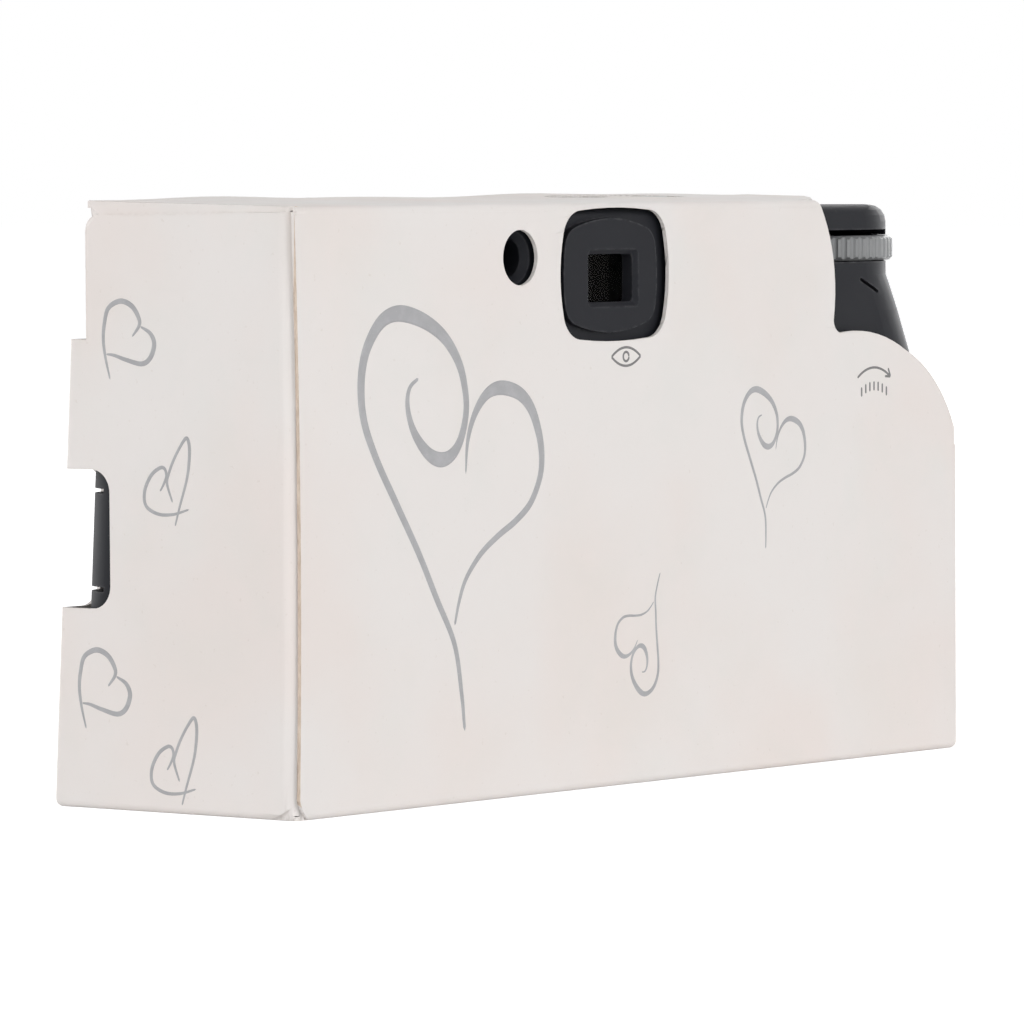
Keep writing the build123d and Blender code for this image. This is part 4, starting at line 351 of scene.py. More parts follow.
def newMaterial(name, settings):
    material = bpy.data.materials.new(name)
    material.use_nodes = True
    tree = material.node_tree
    tree.nodes.clear()
    shader = tree.nodes.new("ShaderNodeBsdfPrincipled")
    output = tree.nodes.new("ShaderNodeOutputMaterial")
    link(tree, shader.outputs[0], output.inputs[0])
    for key, value in settings.items():
        shader.inputs[key].default_value = value
    return material, tree, shader


# Strength, and height in metres, of a bump under a shader
def addRelief(tree, height, shader, bump):
    relief = tree.nodes.new("ShaderNodeBump")
    relief.inputs["Strength"].default_value, relief.inputs["Distance"].default_value = bump
    link(tree, height, relief.inputs["Height"])
    link(tree, relief.outputs[0], shader.inputs["Normal"])


# A finish group placed in its own material: values go to the group, settings straight to the shader
def groupMaterial(name, group, values, settings, bump):
    material, tree, shader = newMaterial(name, settings)
    finish = placeGroup(tree, group)
    for key, value in values.items():
        finish.inputs[key].default_value = (*value, 1) if isinstance(value, tuple) else value
    link(tree, finish.outputs["Color"], shader.inputs["Base Color"])
    link(tree, finish.outputs["Roughness"], shader.inputs["Roughness"])
    addRelief(tree, finish.outputs["Height"], shader, bump)
    return material


plasticFinish = {
    "body_plastic": dict(Color=(0.0125, 0.0132, 0.0168), Rough=0.5, Scale=5200.0, Wear=0.3, Dust=0.06),
    "frame_plastic": dict(Color=(0.006, 0.006, 0.007), Rough=0.62, Scale=4200.0, Wear=0.2, Dust=0.05),
    "black_plastic": dict(Color=(0.004, 0.004, 0.005), Rough=0.7, Scale=5200.0, Wear=0.2, Dust=0.05),
    "white_plastic": dict(Color=(0.72, 0.71, 0.68), Rough=0.4, Scale=3600.0, Wear=0.2, Dust=0.3),
    "wheel_plastic": dict(Color=(0.22, 0.225, 0.23), Rough=0.45, Scale=5200.0, Wear=0.5, Dust=0.3),
    "button_plastic": dict(Color=(0.42, 0.43, 0.44), Rough=0.35, Scale=5200.0, Wear=0.5, Dust=0.25),
    "counter_plastic": dict(Color=(0.78, 0.78, 0.76), Rough=0.4, Scale=4200.0, Wear=0.2, Dust=0.2),
    "ferrite": dict(Color=(0.035, 0.034, 0.036), Rough=0.55, Scale=2600.0, Wear=0.5, Dust=0.2),
    "capacitor_sleeve": dict(Color=(0.012, 0.02, 0.06), Rough=0.25, Scale=900.0, Wear=0.3, Dust=0.3),
    "battery_jacket": dict(Color=(0.05, 0.19, 0.16), Rough=0.28, Scale=900.0, Wear=0.5, Dust=0.3),
    "board": dict(Color=(0.16, 0.11, 0.04), Rough=0.42, Scale=1400.0, Wear=0.2, Dust=0.4),
    "film": dict(Color=(0.10, 0.05, 0.045), Rough=0.22, Scale=700.0, Wear=0.1, Dust=0.2),
}
metalFinish = {
    "can_steel": dict(Color=(0.60, 0.60, 0.61), Rough=0.28, Tarnish=0.25),
    "blade_metal": dict(Color=(0.07, 0.07, 0.075), Rough=0.45, Tarnish=0.1),
    "bright_aluminium": dict(Color=(0.86, 0.86, 0.87), Rough=0.12, Tarnish=0.1),
    "coil_copper": dict(Color=(0.60, 0.24, 0.10), Rough=0.3, Tarnish=0.5),
    "contact_steel": dict(Color=(0.58, 0.56, 0.52), Rough=0.25, Tarnish=0.4),
}
clearFinish = {
    "clear_plastic": dict(tint=(0.97, 0.98, 0.98), rough=0.04, ior=1.49, mirror=0.3),
    "finder_plastic": dict(tint=(0.9, 0.92, 0.93), rough=0.04, ior=1.12, mirror=0.3),
    "tube_glass": dict(tint=(0.93, 0.95, 0.96), rough=0.02, ior=1.47, mirror=1.0),
    "lamp_plastic": dict(tint=(0.9, 0.35, 0.12), rough=0.15, ior=1.49, mirror=0.5),
}

# Bumps are strength and height in metres; a plastic whose red lies under darkBelow counts as dark
surfaceLook = {
    "plasticBump": (0.2, 0.00002),
    "metalBump": (0.12, 0.00001),
    "cardBump": (0.25, 0.00003),
    "darkBelow": 0.03,
    "darkShine": 0.12,
    "paleShine": 0.5,
    "cardShine": 0.2,
    "smudge": dict(scale=260.0, detail=4.0, roughness=0.6, low=0.4, high=0.75),
    "smudgeSpread": 0.12,
}
cardFinish = dict(Color=(0.80, 0.765, 0.745), Wear=0.5)

finishes = {}
for name, values in plasticFinish.items():
    dark = values["Color"][0] < surfaceLook["darkBelow"]
    settings = {"Specular IOR Level": surfaceLook["darkShine" if dark else "paleShine"]}
    finishes[name] = groupMaterial(name, mouldGroup, values, settings, surfaceLook["plasticBump"])
for name, values in metalFinish.items():
    finishes[name] = groupMaterial(name, metalGroup, values, {"Metallic": 1.0}, surfaceLook["metalBump"])
for name, values in clearFinish.items():
    mirror = (values["mirror"],) * 3
    settings = {
        "Transmission Weight": 1.0,
        "IOR": values["ior"],
        "Base Color": (*values["tint"], 1),
        "Specular Tint": (*mirror, 1),
    }
    material, tree, shader = newMaterial(name, settings)
    rough = values["rough"]
    smudge = dict(surfaceLook["smudge"], outLow=rough, outHigh=rough + surfaceLook["smudgeSpread"])
    link(tree, patches(tree, objectCoords(tree), smudge), shader.inputs["Roughness"])
    finishes[name] = material
settings = {"Specular IOR Level": surfaceLook["cardShine"]}
finishes["card"] = groupMaterial("card", cardGroup, cardFinish, settings, surfaceLook["cardBump"])

for name, piece in nodes.items():
    for place in piece.material_slots:
        slot = place.material.name.split(".")[0]
        if slot in finishes:
            place.material = finishes[slot]
        else:
            print("no finish for", name, slot)
# The eyepiece's lens bends and mirrors less than real plastic, to keep the white stage out of the sight
for place in nodes["viewfinder_back_lens"].material_slots:
    place.material = finishes["finder_plastic"]
print("stage 3: materials on", len(nodes), "nodes")

# Card sleeve: sizes in millimetres, and how far its panels sag inwards
# A wave is its height, its length divided by 2 pi, and its start in radians
sleeve = {
    "width": 118.4,
    "height": 63.0,
    "depth": 33.6,
    "headDepth": 30.1,
    "headRise": 1.0,
    "gridStep": 4.0,
    "weldMetres": 1e-7,
    "topSag": 0.42,
    "waveLevel": 0.5,
    "topWaves": [(0.3, 9.5, 0.8), (0.2, 4.3, 2.0)],
    "sagFromShare": 0.7,
    "sagOverShare": 0.3,
    "panelSag": 0.09,
    "dipLevel": 0.6,
    "dipSwing": 0.4,
    "backWaveX": 11,
    "backWaveZ": 17,
    "endWaveZ": 8,
    "dipDepth": 3,
    "dipFade": 2,
    "inkRoom": 0.025,
    "facingLimit": 0.35,
    "edgeReach": 1.6,
    "foldReach": 1.1,
    "sharpDegrees": 35,
}


# Smooth step from nothing to one: three times the square less twice the cube
def smooth(t):
    t = np.clip(t, 0.0, 1.0)
    return t * t * (3 - 2 * t)


# Front face leans back evenly from foot to head, and the top rises evenly from back to front
def cardFront(z):
    return -sleeve["depth"] / 2 + (sleeve["depth"] - sleeve["headDepth"]) * z / sleeve["height"]


def cardTop(y):
    share = (sleeve["depth"] / 2 - y) / sleeve["headDepth"]
    return sleeve["height"] + sleeve["headRise"] * share


# Sag: the top dips towards its front by a sum of two slow sine waves along x,
# and back and end dip by products of sines that are nothing at the folds;
# both dips are full near the outer face and fade to nothing at dipDepth under it
def sagged(points):
    x, y, z = points.T
    halfWidth, halfDepth = sleeve["width"] / 2, sleeve["depth"] / 2
    wave = np.full_like(x, sleeve["waveLevel"])
    for high, long, start in sleeve["topWaves"]:
        wave = wave + high * np.sin(x / long + start)
    towardsFront = smooth((halfDepth - y) / sleeve["headDepth"])
    sagFrom, sagOver = sleeve["sagFromShare"] * sleeve["height"], sleeve["sagOverShare"] * sleeve["height"]
    nearTop = smooth((z - sagFrom) / sagOver)
    drop = sleeve["topSag"] * wave * towardsFront * nearTop
    across = np.clip((x + halfWidth) / sleeve["width"], 0, 1)
    upward = np.clip(z / sleeve["height"], 0, 1)
    inward = np.clip((y + halfDepth) / sleeve["depth"], 0, 1)
    backSwing = sleeve["dipSwing"] * np.sin(x / sleeve["backWaveX"] + z / sleeve["backWaveZ"])
    endSwing = sleeve["dipSwing"] * np.sin(z / sleeve["endWaveZ"])
    backDip = np.sin(np.pi * across) * np.sin(np.pi * upward) * (sleeve["dipLevel"] + backSwing)
    endDip = np.sin(np.pi * inward) * np.sin(np.pi * upward) * (sleeve["dipLevel"] + endSwing)
    byBack = smooth((y - halfDepth + sleeve["dipDepth"]) / sleeve["dipFade"])
    byEnd = smooth((np.abs(x) - halfWidth + sleeve["dipDepth"]) / sleeve["dipFade"]) * np.sign(x)
    return np.stack([
        x - (sleeve["panelSag"] * endDip + sleeve["inkRoom"]) * byEnd,
        y - (sleeve["panelSag"] * backDip + sleeve["inkRoom"]) * byBack,
        z - drop,
    ], axis=1)


# Uncoated card: short fibres between a dark and a light tone
rawLook = {
    "shine": 0.2,
    "fibreScales": (2600, 2600, 700),
    "fibreDetail": 4.0,
    "fibreRoughness": 0.7,
    "tone": dict(low=0.3, high=0.7),
    "gloss": dict(low=0.3, high=0.7, outLow=0.75, outHigh=0.95),
    "bumpMetres": 0.00004,
}
rawCard = {
    # The first entry is the raw board's brown core, darkened further as painted shade of the gap at the back
    # panel's free edge
    "shadedCoreEdge": dict(dark=(0.58, 0.46, 0.37), light=(0.74, 0.62, 0.52), bump=0.6),
    "rawInside": dict(dark=(0.42, 0.40, 0.37), light=(0.58, 0.56, 0.52), bump=0.3),
    "cutEdge": dict(dark=(0.66, 0.62, 0.59), light=(0.80, 0.765, 0.745), bump=0.4),
}


def rawMaterial(name, values):
    material, tree, shader = newMaterial(name, {"Specular IOR Level": rawLook["shine"]})
    along = objectCoords(tree, rawLook["fibreScales"])
    fibre = noiseNode(tree, 1.0, rawLook["fibreDetail"], rawLook["fibreRoughness"], along)
    tone = mixColour(tree, ramp(tree, fibre, **rawLook["tone"]), values["dark"], values["light"])
    link(tree, tone, shader.inputs["Base Color"])
    link(tree, ramp(tree, fibre, **rawLook["gloss"]), shader.inputs["Roughness"])
    addRelief(tree, fibre, shader, (values["bump"], rawLook["bumpMetres"]))
    return material


for name, values in rawCard.items():
    finishes[name] = rawMaterial(name, values)

# What a face of the sleeve is: its outside, the brown core at a cut, darkened as painted shade of the gap
# beside it, its inside, or a pale cut
faceFinishes = ("card", "shadedCoreEdge", "rawInside", "cutEdge")
outside, shadedCore, inside, paleCut = range(len(faceFinishes))


# The sleeve's own solid, cut by planes into a grid, sagged as one array of points;
# a face is raw edge or inside by the angle between it and the outer plane nearest to it
def buildSleeve():
    work = bmesh.new()
    work.from_mesh(nodes["card_sleeve"].data)
    weld = sleeve["weldMetres"]
    bmesh.ops.remove_doubles(work, verts=work.verts, dist=weld)
    ends = (sleeve["width"] / 2, sleeve["depth"] / 2, sleeve["height"] / 2)
    middles = (0.0, 0.0, sleeve["height"] / 2)
    for axis, (end, middle) in enumerate(zip(ends, middles)):
        for cut in np.arange(middle - end, middle + end, sleeve["gridStep"])[1:]:
            spot, facing = [0.0] * 3, [0.0] * 3
            spot[axis], facing[axis] = cut * mm, 1.0
            geometry = work.verts[:] + work.edges[:] + work.faces[:]
            bmesh.ops.bisect_plane(work, geom=geometry, plane_co=spot, plane_no=facing, dist=weld)
    mesh = bpy.data.meshes.new("sleeveCard")
    work.to_mesh(mesh)
    work.free()
    count = len(mesh.polygons)
    centre, normal = np.empty(count * 3), np.empty(count * 3)
    mesh.polygons.foreach_get("center", centre)
    mesh.polygons.foreach_get("normal", normal)
    centre, normal = centre.reshape(-1, 3) / mm, normal.reshape(-1, 3)
    x, y, z = centre.T
    outward = np.array([(1, 0, 0), (-1, 0, 0), (0, 1, 0), (0, -1, 0), (0, 0, 1), (0, 0, -1)], float)
    depth = np.stack([
        sleeve["width"] / 2 - x,
        sleeve["width"] / 2 + x,
        sleeve["depth"] / 2 - y,
        y - cardFront(z),
        cardTop(y) - z,
        z,
    ], axis=1)
    facing = np.sum(normal * outward[np.argmin(depth, axis=1)], axis=1)
    kind = np.full(count, shadedCore, np.int32)
    kind[facing > sleeve["facingLimit"]] = outside
    kind[facing < -sleeve["facingLimit"]] = inside
    # Only the back panel's free edge shows the brown core, whose dark tan is partly painted shade of the gap
    # at the near fold: the other cuts are pale, and the top's fold is coated
    raw = kind == shadedCore
    fromEnd, fromBack, fromTop = depth[:, 0], depth[:, 2], depth[:, 4]
    reach = sleeve["edgeReach"]
    shadedFreeEdge = (fromEnd < reach) & (fromBack < reach) & (z > reach)
    topFold = (fromEnd < sleeve["foldReach"]) & (fromTop < sleeve["foldReach"])
    kind[raw & ~shadedFreeEdge] = paleCut
    kind[raw & topFold] = outside
    for finish in faceFinishes:
        mesh.materials.append(finishes[finish])
    mesh.polygons.foreach_set("material_index", kind)
    points = np.empty(len(mesh.vertices) * 3)
    mesh.vertices.foreach_get("co", points)
    points = sagged(points.reshape(-1, 3) / mm) * mm
    mesh.vertices.foreach_set("co", points.ravel())
    mesh.shade_smooth()
    mesh.set_sharp_from_angle(angle=math.radians(sleeve["sharpDegrees"]))
    piece = bpy.data.objects.new("sleeveCard", mesh)
    bpy.context.scene.collection.objects.link(piece)
    even = piece.modifiers.new("evenNormals", "WEIGHTED_NORMAL")
    even.keep_sharp = True
    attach(piece, "camera")
    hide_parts("card_sleeve")


buildSleeve()
print("stage 4: sleeve cut, sagged and given raw edges")

# Printed ornament: looped hearts, in a silver-grey ink
# Points are in a heart's own frame, where its strokes meet at nothing and it is about one high;
# widths are in millimetres, and a heart's thick multiplies them
loopHeart = {
    "stroke": [
        (0.05, -0.32), (0.035, -0.2), (0, -0.04), (-0.09, 0.11), (-0.18, 0.26), (-0.29, 0.42),
        (-0.385, 0.56), (-0.445, 0.68), (-0.46, 0.79), (-0.44, 0.89), (-0.385, 0.97), (-0.32, 1.01),
        (-0.24, 1.015), (-0.13, 0.985), (-0.035, 0.93), (0.035, 0.845), (0.065, 0.745), (0.06, 0.67),
        (0.03, 0.6), (-0.015, 0.56), (-0.07, 0.55), (-0.13, 0.573), (-0.19, 0.63), (-0.222, 0.69),
        (-0.23, 0.745), (-0.215, 0.785), (-0.175, 0.81),
    ],
    "strokeWidths": [
        0.4, 0.6, 0.7, 0.8, 0.85, 0.9, 0.95, 1.05, 1.15, 1.25, 1.4, 1.6, 1.75, 1.6, 1.35, 1.1, 0.95,
        0.95, 1.1, 1.4, 1.6, 1.4, 1.05, 0.8, 0.65, 0.5, 0.35,
    ],
    "lobe": [
        (0.062, 0.5), (0.073, 0.605), (0.11, 0.69), (0.17, 0.75), (0.244, 0.77), (0.337, 0.75),
        (0.4, 0.7), (0.44, 0.62), (0.455, 0.545), (0.445, 0.475), (0.396, 0.395), (0.318, 0.34),
        (0.225, 0.295), (0.135, 0.24), (0.06, 0.165), (0.023, 0.09), (0.002, 0.02),
    ],
    "lobeWidths": [
        0.2, 0.55, 0.85, 1.2, 1.55, 1.5, 1.3, 1.1, 0.95, 0.85, 0.8, 0.75, 0.7, 0.65, 0.55, 0.45, 0.3,
    ],
}
slimHeart = {
    "stroke": [
        (-0.06, -0.17), (0.01, 0.05), (0.14, 0.42), (0.185, 0.66), (0.19, 0.86), (0.14, 0.96),
        (0.03, 0.84), (-0.08, 0.67), (-0.16, 0.5), (-0.19, 0.37), (-0.1, 0.13),
    ],
    "strokeWidths": [
        0.35, 0.5, 0.6, 0.7, 0.75, 0.7, 0.6, 0.6, 0.6, 0.6, 0.4,
    ],
    "lobe": [
        (-0.31, 0.27), (-0.25, 0.36), (-0.2, 0.47), (-0.23, 0.56), (-0.31, 0.57), (-0.46, 0.47),
        (-0.57, 0.27), (-0.55, 0.08), (-0.35, -0.02), (-0.09, -0.02), (0.18, 0.05),
    ],
    "lobeWidths": [
        0.35, 0.5, 0.6, 0.65, 0.7, 0.75, 0.75, 0.7, 0.65, 0.55, 0.35,
    ],
}
openHeart = {
    "stroke": [
        (0.11, -0.46), (0, -0.06), (-0.05, 0.28), (-0.02, 0.59), (0.08, 0.87), (0.37, 1.0),
        (0.64, 0.91), (0.8, 0.71), (0.82, 0.55), (0.65, 0.34),
    ],
    "strokeWidths": [
        0.4, 0.65, 0.8, 0.9, 1.0, 1.1, 1.1, 1.0, 0.8, 0.4,
    ],
    "lobe": [
        (0.85, 0.53), (1.09, 0.4), (1.18, 0.2), (1.08, -0.05), (0.87, -0.16), (0.5, -0.09),
        (0.21, -0.01), (0.02, 0.01),
    ],
    "lobeWidths": [
        0.4, 0.9, 1.1, 1.1, 1.0, 0.85, 0.65, 0.35,
    ],
}
hearts = [
    dict(kind=loopHeart, panel="back", at=(-33.3, 18.2), size=33.0, turn=0, thick=1.0, lobe=1.0),
    dict(kind=loopHeart, panel="back", at=(21.9, 28.7), size=12.9, turn=-9, thick=0.42, lobe=1.08),
    dict(kind=loopHeart, panel="back", at=(1.5, 19.8), size=9.7, turn=151, thick=0.36, lobe=1.05),
    dict(kind=openHeart, panel="end", at=(-8.9, 47.6), size=5.7, turn=0, thick=0.52, lobe=1.0),
    dict(kind=slimHeart, panel="end", at=(1.0, 31.3), size=8.1, turn=0, thick=0.56, lobe=1.0),
    dict(kind=openHeart, panel="end", at=(-12.6, 11.0), size=5.7, turn=0, thick=0.52, lobe=1.0),
    dict(kind=slimHeart, panel="end", at=(1.7, 2.35), size=8.1, turn=0, thick=0.56, lobe=1.0),
]
ink = {
    "lift": 0.024,
    "crown": 0.6,
    "skin": 0.015,
    "columns": 7,
    "perSpan": 9,
    "leastHalf": 1e-6,
    "tipShare": 0.0004,
    "heart": (0.40, 0.397, 0.41),
    "caption": (0.19, 0.185, 0.185),
}


# Smooth line through its control points: each span is the cubic whose slope at either end
# is half the chord between the two points beside that end
def smoothLine(points, values):
    data = np.column_stack([np.asarray(points, float), np.asarray(values, float)])
    before, after = 2 * data[0] - data[1], 2 * data[-1] - data[-2]
    data = np.vstack([before, data, after])
    spans = len(data) - 3
    t = np.linspace(0, spans, spans * ink["perSpan"] + 1)
    i = np.minimum(t.astype(int), spans - 1)
    u = (t - i)[:, None]
    a, b, c, d = data[i], data[i + 1], data[i + 2], data[i + 3]
    line = 0.5 * (2 * b + (c - a) * u + (2 * a - 5 * b + 4 * c - d) * u**2 + (3 * b - a - 3 * c + d) * u**3)
    return line[:, :2], line[:, 2]


# Ribbon of ink: a low crown, 1 minus the square of the place across it, carried along the line;
# its half width is rounded off to almost nothing over half a width at either end
def ribbon(points, widths):
    line, width = smoothLine(points, widths)
    along = np.gradient(line, axis=0)
    step = np.linalg.norm(along, axis=1)
    side = np.column_stack([-along[:, 1], along[:, 0]]) / step[:, None]
    run = np.concatenate([[0], np.cumsum(np.linalg.norm(np.diff(line, axis=0), axis=1))])
    fromEnd = np.minimum(run, run[-1] - run) / np.maximum(0.5 * width, ink["leastHalf"])
    roundShare = np.clip(fromEnd * (2 - np.minimum(fromEnd, 1)), ink["tipShare"], 1)
    half = 0.5 * width * np.sqrt(roundShare)
    across = np.linspace(-1, 1, ink["columns"])
    flat = line[:, None, :] + side[:, None, :] * (half[:, None] * across)[..., None]
    lift = ink["lift"] * (1 - ink["crown"] + ink["crown"] * (1 - across**2))
    lift = np.broadcast_to(lift, flat.shape[:2])
    rows, columns = flat.shape[:2]
    first = (np.arange(rows - 1)[:, None] * columns + np.arange(columns - 1)).ravel()
    quads = np.column_stack([first, first + 1, first + columns + 1, first + columns])
    return flat.reshape(-1, 2), lift.ravel(), quads


# Places flat points on a panel, as it is read by someone who looks straight at it
def onPanel(flat, lift, panel):
    if panel == "back":
        points = np.column_stack([-flat[:, 0], np.full(len(flat), sleeve["depth"] / 2), flat[:, 1]])
        outward = np.array([0, 1.0, 0])
    else:
        points = np.column_stack([np.full(len(flat), sleeve["width"] / 2), flat[:, 0], flat[:, 1]])
        outward = np.array([1.0, 0, 0])
    return sagged(points) + lift[:, None] * outward


def placedHeart(heart):
    turn = math.radians(heart["turn"])
    spin = np.array([[math.cos(turn), -math.sin(turn)], [math.sin(turn), math.cos(turn)]])
    for stroke, grow in (("stroke", 1.0), ("lobe", heart["lobe"])):
        shape = np.asarray(heart["kind"][stroke]) * grow
        line = shape @ spin.T * heart["size"] + np.asarray(heart["at"])
        yield line, np.asarray(heart["kind"][stroke + "Widths"]) * heart["thick"]


# A soft print: the ink's tone drifts, and pale pinholes let the card show through
inkLook = {
    "shine": 0.4,
    "drift": dict(scale=520.0, detail=4.0, roughness=0.6, low=0.35, high=0.7),
    "darker": 0.93,
    "lighter": 1.08,
    "pinhole": dict(scale=4200.0, detail=2.0, roughness=0.5, low=0.7, high=0.78, outHigh=0.35),
    "pinholeColour": (0.7, 0.68, 0.66),
    "gloss": dict(low=0, high=1, outLow=0.42, outHigh=0.6),
}


def inkMaterial(name, colour):
    material, tree, shader = newMaterial(name, {"Specular IOR Level": inkLook["shine"]})
    place = objectCoords(tree)
    drift = patches(tree, place, inkLook["drift"])
    dark = tuple(inkLook["darker"] * c for c in colour)
    light = tuple(min(inkLook["lighter"] * c, 1) for c in colour)
    tone = mixColour(tree, drift, dark, light)
    pinhole = patches(tree, place, inkLook["pinhole"])
    link(tree, mixColour(tree, pinhole, tone, inkLook["pinholeColour"]), shader.inputs["Base Color"])
    link(tree, ramp(tree, drift, **inkLook["gloss"]), shader.inputs["Roughness"])
    return material


def buildInk(name, strokes, panel, finish):
    corners, faces, start = [], [], 0
    for points, widths in strokes:
        flat, lift, quads = ribbon(points, widths)
        corners.append(onPanel(flat, lift, panel))
        faces.append(quads + start)
        start += len(flat)
    corners, faces = np.vstack(corners) * mm, np.vstack(faces)
    mesh = bpy.data.meshes.new(name)
    mesh.from_pydata(corners.tolist(), [], faces.tolist())
    mesh.materials.append(finish)
    mesh.shade_smooth()
    piece = bpy.data.objects.new(name, mesh)
    bpy.context.scene.collection.objects.link(piece)
    outward = Vector((0, 1, 0)) if panel == "back" else Vector((1, 0, 0))
    if mesh.polygons[0].normal.dot(outward) < 0:
        mesh.flip_normals()
    skin = piece.modifiers.new("skin", "SOLIDIFY")
    skin.thickness = ink["skin"] * mm
    skin.offset = -1
    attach(piece, "camera")


heartInk = inkMaterial("heartInk", ink["heart"])
captionInk = inkMaterial("captionInk", ink["caption"])
for panel in ("back", "end"):
    strokes = [stroke for heart in hearts if heart["panel"] == panel for stroke in placedHeart(heart)]
    buildInk(panel + "Hearts", strokes, panel, heartInk)

# Signs: an eye under the eyepiece, and a bent arrow over a ribbed rim beside the wheel
signs = {
    "line": 0.27,
    "sweepSteps": 9,
    "ringSteps": 17,
    "eyeAt": (-3.4, 46.4),
    "eyeHalf": 2.6,
    "eyeHigh": 1.0,
    "pupil": 0.5,
    "arrowAt": (42.6, 43.0),
    "arrowHalf": 3.2,
    "arrowRise": 1.1,
    "headLong": 1.1,
    "headSpread": 2.6,
    "ribs": 7,
    "ribReachShare": 0.75,
    "ribHigh": 1.1,
    "ribDropShare": 2.4,
}


# Lids, arrow and ribs follow parabolas, 1 minus the square of the place along them; the pupil is a circle
def signStrokes():
    sweep = np.linspace(-1, 1, signs["sweepSteps"])
    bow = 1 - sweep**2
    eyeX, eyeZ = signs["eyeAt"]
    for side in (1, -1):
        yield np.column_stack([eyeX + signs["eyeHalf"] * sweep, eyeZ + side * signs["eyeHigh"] * bow])
    ring = np.linspace(0, 2 * np.pi, signs["ringSteps"])
    yield np.column_stack([eyeX + signs["pupil"] * np.cos(ring), eyeZ + signs["pupil"] * np.sin(ring)])
    arrowX, arrowZ = signs["arrowAt"]
    half, rise, head = signs["arrowHalf"], signs["arrowRise"], signs["headLong"]
    yield np.column_stack([arrowX + half * sweep, arrowZ + rise * bow])
    slope = math.atan2(-2 * rise, half)
    tip = np.array([arrowX + half, arrowZ])
    for spread in (signs["headSpread"], -signs["headSpread"]):
        angle = slope + spread
        yield np.array([tip, tip + head * np.array([math.cos(angle), math.sin(angle)])])
    for place in np.linspace(-signs["ribReachShare"], signs["ribReachShare"], signs["ribs"]):
        foot = arrowZ + rise * (1 - place**2) - signs["ribDropShare"] * signs["ribHigh"]
        yield np.array([[arrowX + half * place, foot], [arrowX + half * place, foot + signs["ribHigh"]]])


signLines = [(points, np.full(len(points), signs["line"])) for points in signStrokes()]
buildInk("signs", signLines, "back", captionInk)
print("stage 5: hearts and signs printed on")


# Stage and lamps: places and sizes are in metres, and power is in watts
studio = {
    "floorHalf": 6.0,
    "floorColour": (0.86, 0.86, 0.86),
    "floorLift": 0.72,
    "fill": 0.54,
    "zenithDrop": 0.55,
    "aimAt": (0, 0, 0.03),
}
lamps = {
    "endSide": dict(at=(1.6, 0.35, 0.5), size=(1.0, 1.0), power=11.8),
    "backSide": dict(at=(-0.2, 1.65, 0.45), size=(1.2, 1.0), power=13.2),
    "frontSide": dict(at=(0.3, -1.65, 0.4), size=(1.2, 1.0), power=10.4),
    "farSide": dict(at=(-1.6, -0.35, 0.4), size=(1.0, 1.0), power=10.4),
    "overhead": dict(at=(0.1, 0.2, 1.7), size=(1.2, 1.2), power=0.2),
}


# One where a ray comes from the camera, a mirror or clear plastic, which are to see the bare white stage
def seenRays(tree):
    rays = tree.nodes.new("ShaderNodeLightPath")
    seen = mathNode(tree, "MAXIMUM", rays.outputs["Is Glossy Ray"], rays.outputs["Is Transmission Ray"])
    return mathNode(tree, "MAXIMUM", rays.outputs["Is Camera Ray"], seen)


def buildFloor():
    mesh = bpy.data.meshes.new("floor")
    half = studio["floorHalf"]
    corners = [(-half, -half, 0), (half, -half, 0), (half, half, 0), (-half, half, 0)]
    mesh.from_pydata(corners, [], [(0, 1, 2, 3)])
    floor = bpy.data.objects.new("floor", mesh)
    bpy.context.scene.collection.objects.link(floor)
    material = bpy.data.materials.new("paleFloor")
    material.use_nodes = True
    tree = material.node_tree
    tree.nodes.clear()
    matt = tree.nodes.new("ShaderNodeBsdfDiffuse")
    matt.inputs["Color"].default_value = (*studio["floorColour"], 1)
    glow = tree.nodes.new("ShaderNodeEmission")
    link(tree, mathNode(tree, "MULTIPLY", seenRays(tree), studio["floorLift"]), glow.inputs["Strength"])
    both = tree.nodes.new("ShaderNodeAddShader")
    output = tree.nodes.new("ShaderNodeOutputMaterial")
    link(tree, matt.outputs[0], both.inputs[0])
    link(tree, glow.outputs[0], both.inputs[1])
    link(tree, both.outputs[0], output.inputs[0])
    mesh.materials.append(material)


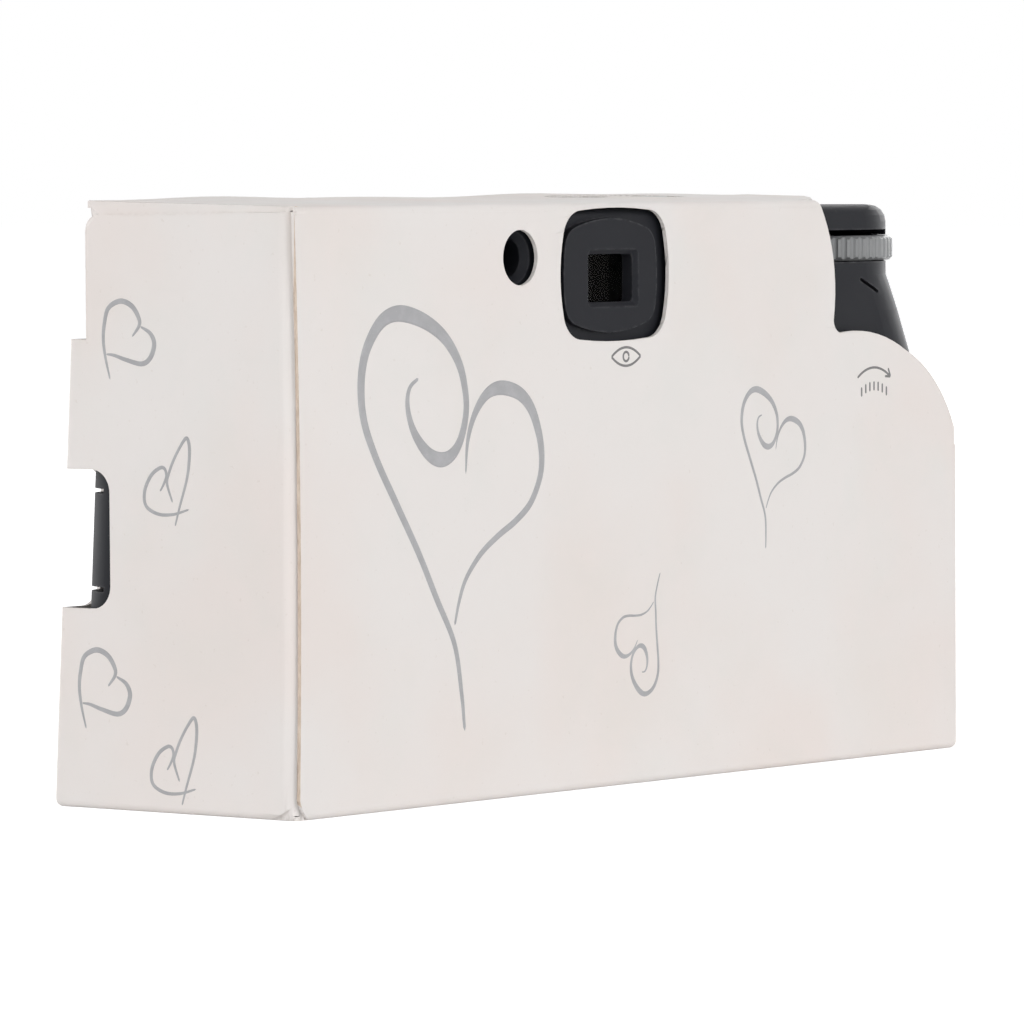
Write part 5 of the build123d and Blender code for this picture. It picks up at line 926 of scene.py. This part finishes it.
def buildWorld():
    world = bpy.data.worlds.new("studio")
    bpy.context.scene.world = world
    world.use_nodes = True
    tree = world.node_tree
    tree.nodes.clear()
    seen = seenRays(tree)
    sky = tree.nodes.new("ShaderNodeBackground")
    output = tree.nodes.new("ShaderNodeOutputWorld")
    # The fill fades towards the zenith, so that a level face is a little darker than an upright one
    height = tree.nodes.new("ShaderNodeSeparateXYZ")
    link(tree, tree.nodes.new("ShaderNodeTexCoord").outputs["Generated"], height.inputs[0])
    rise = mathNode(tree, "MAXIMUM", height.outputs[2], 0.0)
    drop = mathNode(tree, "MULTIPLY", rise, studio["zenithDrop"])
    fill = mathNode(tree, "MULTIPLY", mathNode(tree, "SUBTRACT", 1.0, drop), studio["fill"])
    unseen = mathNode(tree, "MULTIPLY", mathNode(tree, "SUBTRACT", 1.0, seen), fill)
    link(tree, mathNode(tree, "ADD", seen, unseen), sky.inputs["Strength"])
    link(tree, sky.outputs[0], output.inputs[0])
    sky.inputs["Color"].default_value = (1, 1, 1, 1)


def softbox(name, values):
    lamp = bpy.data.lights.new(name, "AREA")
    lamp.shape = "RECTANGLE"
    lamp.size, lamp.size_y = values["size"]
    lamp.energy = values["power"]
    box = bpy.data.objects.new(name, lamp)
    bpy.context.scene.collection.objects.link(box)
    box.location = values["at"]
    aim = Vector(studio["aimAt"]) - Vector(values["at"])
    box.rotation_euler = aim.to_track_quat("-Z", "Y").to_euler()


# Camera: azimuth and elevation about the sleeve's middle, rolled a little, then moved across its own view;
# lengths are in millimetres, but for the two that say metres
view = {
    "azimuth": 128.315,
    "elevation": 2.677,
    "roll": -0.2899,
    "distance": 807.638,
    "across": -1.3708,
    "up": -2.4643,
    "targetZ": 31.5,
    "lens": 258.438,
    "sensor": 36.0,
    "nearMetres": 0.05,
    "farMetres": 30,
}


def buildCamera():
    a, e, r = (math.radians(view[key]) for key in ("azimuth", "elevation", "roll"))
    back = Vector((math.sin(a) * math.cos(e), -math.cos(a) * math.cos(e), math.sin(e)))
    right = Vector((math.cos(a), math.sin(a), 0))
    up = back.cross(right)
    across = right * math.cos(r) + up * math.sin(r)
    upward = up * math.cos(r) - right * math.sin(r)
    place = Vector((0, 0, view["targetZ"])) + across * view["across"] + upward * view["up"]
    place = place + back * view["distance"]
    lens = bpy.data.cameras.new("camera")
    lens.sensor_width = view["sensor"]
    lens.lens = view["lens"]
    lens.clip_start, lens.clip_end = view["nearMetres"], view["farMetres"]
    eye = bpy.data.objects.new("camera", lens)
    bpy.context.scene.collection.objects.link(eye)
    eye.matrix_world = Matrix((
        (across.x, upward.x, back.x, place.x * mm),
        (across.y, upward.y, back.y, place.y * mm),
        (across.z, upward.z, back.z, place.z * mm),
        (0, 0, 0, 1),
    ))
    bpy.context.scene.camera = eye


buildFloor()
buildWorld()
for name, values in lamps.items():
    softbox(name, values)
buildCamera()
bpy.context.scene.view_settings.view_transform = "Standard"
print("stage 6: floor, lamps and camera set")
